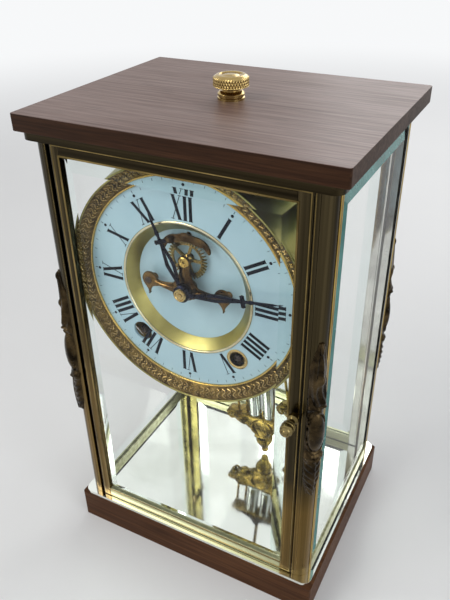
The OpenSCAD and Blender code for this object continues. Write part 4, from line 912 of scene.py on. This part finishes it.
def long_toothed(node):
    """A wheel whose tooth roots are moved in towards its centre."""
    low, high = box_mm(node)
    centre, root_r = (low + high) / 2, radius_mm(node) - TOOTH_DEPTH
    bm = welded(node)
    for vert in bm.verts:
        across = Vector((vert.co.x - centre.x * MM, 0, vert.co.z - centre.z * MM))
        if abs(across.length / MM - root_r) < 0.1:
            vert.co -= across.normalized() * (LONG_TOOTH - TOOTH_DEPTH) * MM
    return stand_in(mesh_object(node + "_cut", bm, 30), ESCAPE_BRASS, node)


long_toothed("escape_wheel")

# Pendulum, drawn hanging straight and then turned to its place in the swing
joints = {j["name"]: j for j in frame["joints"]}
PIVOT = Vector(joints["pendulum_swing"]["pos_m"])
rating_axis = joints["rating_turn"]["axis"]
SWUNG = Matrix.Translation(PIVOT) @ Matrix.Rotation(-math.atan2(rating_axis[0], -rating_axis[2]), 4, "Y")
PENDULUM_FWD = -PIVOT.y / MM
VIAL_DROP, VIAL_H, VIAL_R, VIAL_X = 163.2, 28, 4.75, 5.3
BARS, CUP_X, CUP_R, CUP_H = (11.45, 18), 14, 7, 11.4
CRADLE_H, NUT_DROP, SPRING_LEN, STEM_LEN = 18.5, 196, 10, 7


def hung(obj):
    """Moves a piece drawn about the pivot to its place in the swing."""
    obj.data.transform(SWUNG)
    return obj


def upright(name, profile, x=0, steps=48):
    """Turned piece that stands upright at a distance from the pendulum's line."""
    return lathe(name, profile, shift(x, 0, 0), steps)


def pin(r, low, high):
    """Profile of a plain round rod."""
    return [(0, low), (r, low), (r, high), (0, high)]


def slab(name, loop, thick, ease):
    """Sheet piece about the pendulum's line."""
    return flat(name, [loop], -thick / 2, thick / 2, ease, (0, 0))


def lobed(angle, r, h):
    """Eight shallow lobes on a cup's bowl."""
    return r * (1 - 0.06 * (1 - abs(math.cos(4 * angle)))) if h < -3.1 else r


yoke_drop = VIAL_DROP - VIAL_H
wing = [(0, 0), (12, 0), (23.5, 0), (26, -1.2), (25.6, -3.2), (23.4, -4.2), (21.6, -3.6), (20.4, -5.2),
        (18.2, -7.6), (15.4, -9.2), (12.8, -8.8), (11.4, -9.4), (9.4, -11.4), (6.8, -12.2), (5.6, -14.4),
        (5.2, -16.6), (6.0, -17.8), (5.4, -CRADLE_H), (0, -CRADLE_H)]
yoke = [(0, 0), (13.4, 0), (20.6, 1), (21, 2.6), (19.4, 4.6), (17.2, 4.2), (15.6, 6.2), (12.2, 5.2),
        (8.6, 6.2), (5, 7.2), (2.6, 9.6), (1.6, 12)]
rod = raised([(0, 0), (1.2, 0)], -yoke_drop)
rod += raised([(1.2, -2), (2.6, -2), (2.6, 0.7), (1.6, 1), (0, 1)], -SPRING_LEN)
cup = raised([(0, 0), (2.2, 0), (3.2, 0.8), (3.4, 1.8), (5.2, 4.4), (6.4, 7.2)], -CUP_H)
cup += [(6.6, -3.0), (6.2, -2.6), (6.6, -2.2), (CUP_R, -1.6), (CUP_R, -0.9), (6.6, -0.4), (0, -0.4)]
pieces = [slab("cradle", raised(mirrored(wing), -VIAL_DROP), thick=9, ease=0.8),
          slab("yoke", raised(mirrored(yoke), -yoke_drop), thick=8, ease=0.6),
          slab("spring", stroke(0, 0, 0.4, -SPRING_LEN, 0), thick=5, ease=0.05),
          upright("rod", rod)]
for side in (-1, 1):
    for x in BARS:
        pieces.append(upright("bar", pin(0.9, -VIAL_DROP - 0.5, -yoke_drop + 1), side * x, 24))
    pieces.append(lathe("cup", cup, shift(side * CUP_X, 0, -VIAL_DROP), 64, lobed))
    for front in (-1, 1):
        curl = []
        for t in (i / 40 for i in range(41)):
            x, z = polar(2.6 - 1.9 * t, 900 * t)
            curl.append((side * (22 + x), front * 4.4, -VIAL_DROP - 3.6 + z))
        pieces.append(tube("curl", curl, lambda t: 0.7 - 0.3 * t, 8))
        leaf = [(side * (1.2 + 5.6 * math.sin(math.pi * t)), front * (4.2 + 0.9 * math.sin(math.pi * t)),
                 -VIAL_DROP - 1.5 - 15 * t) for t in (i / 12 for i in range(13))]
        pieces.append(tube("leaf", leaf, swelling(0.4, 0.7), 8))
cradle_foot = -VIAL_DROP - CRADLE_H
pieces.append(upright("stem", pin(1.5, cradle_foot - STEM_LEN, cradle_foot), 0, 24))
stand_in(hung(join("pendulum_frame_cast", pieces)), PENDULUM_GILT, "pendulum_frame")
vial = [(0, -VIAL_DROP), (VIAL_R - 1, -VIAL_DROP), *arc_profile((VIAL_R - 1, -VIAL_DROP + 1), 1, -90, 0, 4),
        *inside([(0, 2.4), (0.25, 2.6)], VIAL_R, -VIAL_DROP),
        *inside([(0.25, -3.2), (0, -3), (0, -0.8), (0.6, 0)], VIAL_R, -yoke_drop), (0, -yoke_drop)]
vials = [upright("vial", vial, side * VIAL_X, 64) for side in (-1, 1)]
stand_in(hung(join("pendulum_vials_turned", vials)), SILVER, "pendulum_vials")
nut_top = cradle_foot - 0.3
finial = raised([(0, 0), (0.9, 0), (2.0, 0.8), (2.4, 1.9), (2.0, 3.0), (1.6, 3.5), (2.5, 4.1), (3.2, 5.8),
                 (4.4, 7.8)], -NUT_DROP)
finial += raised([(5.4, -4.2), (5.0, -3.6), (5.0, -3.2), (5.8, -2.6), (5.8, -0.8), (5.4, 0), (1.55, 0)],
                 nut_top)
finial += raised([(1.55, -1), (0, -1)], nut_top - STEM_LEN)
stand_in(hung(upright("rating_nut_turned", finial)), PENDULUM_GILT, "rating_nut")

# Curved anchor over the plain one of the pallet arbor, which rocks about the pendulum's line
ANCHOR_BACK, ANCHOR_FRONT = 46.95 - PENDULUM_FWD, 48.2 - PENDULUM_FWD
anchor = mirrored([(0, 2.6), (2.2, 2.2), (5.2, 1.3), (8.4, 0.7), (11.4, -1.1), (13.2, -3.9), (13.4, -6.6),
                   (12.2, -7.0), (10.7, -5.0), (8.8, -3.3), (5.4, -1.7), (2.6, -1.8), (0, -2.2)])
cast = flat("anchor_cast", [smooth_loop(anchor, 4)], ANCHOR_BACK, ANCHOR_FRONT, 0.35, (0, 0))
adopt(hung(cast), ANCHOR_BRONZE, "pallets", SLOT_OF["pallet_arbor"])

# Gong: round wire along the coil's own line
gong_low, gong_high = box_mm("gong")
WIRE_R, COIL_R, COIL_STEP, COIL_TURNS, PER_TURN = 1, 10, 4, 4, 48
coil_end = COIL_R + COIL_STEP * COIL_TURNS
gong_x = gong_high.x - coil_end - WIRE_R
gong_z = gong_low.z + COIL_R + COIL_STEP * (COIL_TURNS - 0.25) + WIRE_R
gong_y = (gong_low.y + gong_high.y) / 2
coil = [(gong_x + COIL_R, gong_y, gong_z - 2 * WIRE_R)]
for i in range(PER_TURN * COIL_TURNS + 1):
    turn = i / PER_TURN
    x, z = polar(COIL_R + COIL_STEP * turn, 360 * turn)
    coil.append((gong_x + x, gong_y, gong_z + z))
coil.append((gong_x + coil_end, gong_y, gong_z + 2 * WIRE_R))
stand_in(tube("gong_wire", coil, 0.97 * WIRE_R, 10), BLUED, "gong")

# Lights, floor and camera
BACKDROP = (0.93, 0.94, 0.95, 1)
scene = bpy.context.scene
scene.view_settings.view_transform = "Standard"


def seen_rays(tree):
    """1 on the rays that show the background: straight, mirrored or through glass."""
    path = add(tree, "ShaderNodeLightPath")
    seen = path.outputs["Is Camera Ray"]
    for ray in ("Is Glossy Ray", "Is Transmission Ray"):
        larger = add(tree, "ShaderNodeMath", {0: seen, 1: path.outputs[ray]}, operation="MAXIMUM")
        seen = larger.outputs["Value"]
    return seen


world = bpy.data.worlds.new("studio")
scene.world = world
world.use_nodes = True
tree = world.node_tree
sky = tree.nodes["Background"]
put(sky, {"Color": (0.93, 0.95, 1, 1), "Strength": 0.4})
backdrop = add(tree, "ShaderNodeBackground", {"Color": BACKDROP, "Strength": 1})
shown = mix_shaders(tree, seen_rays(tree), sky.outputs["Background"], backdrop.outputs["Background"])
put(tree.nodes["World Output"], {"Surface": shown})


MIDDLE = Vector((0, 0, 0.14))


def softbox(name, at, size, power, colour=(1, 1, 1)):
    """Rectangular lamp at a place, turned to the clock's middle."""
    light = bpy.data.lights.new(name, "AREA")
    light.shape = "RECTANGLE"
    light.size, light.size_y = size
    light.energy = power
    light.color = colour
    obj = in_scene(name, light)
    obj.location = at
    obj.rotation_euler = (MIDDLE - Vector(at)).to_track_quat("-Z", "Y").to_euler()


softbox("key", (-0.7, -0.75, 0.95), size=(0.7, 0.7), power=7, colour=(1, 0.98, 0.95))
softbox("fill", (0.95, -0.35, 0.6), size=(0.6, 0.8), power=3.2, colour=(0.95, 0.98, 1))
softbox("rim", (0.1, 0.95, 0.75), size=(0.9, 0.5), power=4.5)

# The floor fades into the backdrop well away from the clock and its shadow
FLOOR_REACH, FADE_FROM, FADE_TO = 4, 0.55, 1.6
floor_mesh = bpy.data.meshes.new("floor")
corners = [(x * FLOOR_REACH, y * FLOOR_REACH, 0) for x, y in ((-1, -1), (1, -1), (1, 1), (-1, 1))]
floor_mesh.from_pydata(corners, [], [(0, 1, 2, 3)])
floor = in_scene("floor", floor_mesh)
material, tree, bsdf = shader("floor")
tone = ramp(tree, noise(tree, 3), [(0.3, (0.80, 0.80, 0.79)), (0.7, (0.83, 0.83, 0.82))])
put(bsdf, {"Base Color": tone, "Roughness": 0.8})
spot = add(tree, "ShaderNodeNewGeometry").outputs["Position"]
distance = add(tree, "ShaderNodeVectorMath", {0: spot}, operation="LENGTH").outputs["Value"]
fade = add(tree, "ShaderNodeMapRange", {"Value": distance, "From Min": FADE_FROM, "From Max": FADE_TO},
           interpolation_type="SMOOTHSTEP").outputs["Result"]
faded = add(tree, "ShaderNodeMath", {0: fade, 1: seen_rays(tree)}, operation="MULTIPLY").outputs["Value"]
pale = add(tree, "ShaderNodeEmission", {"Color": BACKDROP}).outputs["Emission"]
put(tree.nodes["Material Output"], {"Surface": mix_shaders(tree, faded, bsdf.outputs["BSDF"], pale)})
floor_mesh.materials.append(material)

# Camera at the photograph's view: azimuth and elevation from the front, roll, place and focal length
AZIMUTH, ELEVATION, ROLL = (math.radians(a) for a in (28.044, 32.274, -0.914))
CAMERA_AT = Vector((146.769, -285.281, 361.153)) * MM
FOCAL_PX, PICTURE_H, SENSOR_H = 652.78, 600, 36
forward = Vector((-math.sin(AZIMUTH) * math.cos(ELEVATION), math.cos(AZIMUTH) * math.cos(ELEVATION),
                  -math.sin(ELEVATION)))
level = Vector((math.cos(AZIMUTH), math.sin(AZIMUTH), 0))
upward = level.cross(forward)
right = math.cos(ROLL) * level + math.sin(ROLL) * upward
up = math.cos(ROLL) * upward - math.sin(ROLL) * level
camera_data = bpy.data.cameras.new("camera")
camera_data.sensor_fit = "VERTICAL"
camera_data.sensor_height = SENSOR_H
camera_data.lens = SENSOR_H * FOCAL_PX / PICTURE_H
camera_data.clip_start = 0.01
camera = in_scene("camera", camera_data)
camera.matrix_world = Matrix.Translation(CAMERA_AT) @ Matrix((right, up, -forward)).transposed().to_4x4()
scene.camera = camera

# Coats of the CAD nodes that stay in view
OWN_COAT = {"door_pivots": BEAD_BRASS, "case_screws": STEEL, "pallet_arbor": ANCHOR_BRONZE,
            "time_winding_arbor": DARK_STEEL, "strike_winding_arbor": DARK_STEEL}
SLOT_COAT = {"polished_brass": POLISHED, "gilt_bezel": GILT, "bronze_ornament": BRONZE,
             "movement_brass": MOVEMENT, "white_enamel": ENAMEL, "blued_steel": BLUED, "bright_steel": STEEL,
             "silver_vial": SILVER}
for node, cad in NODES.items():
    if not cad.hide_render:
        cad.data.materials.clear()
        cad.data.materials.append(OWN_COAT.get(node) or SLOT_COAT[SLOT_OF[node]])
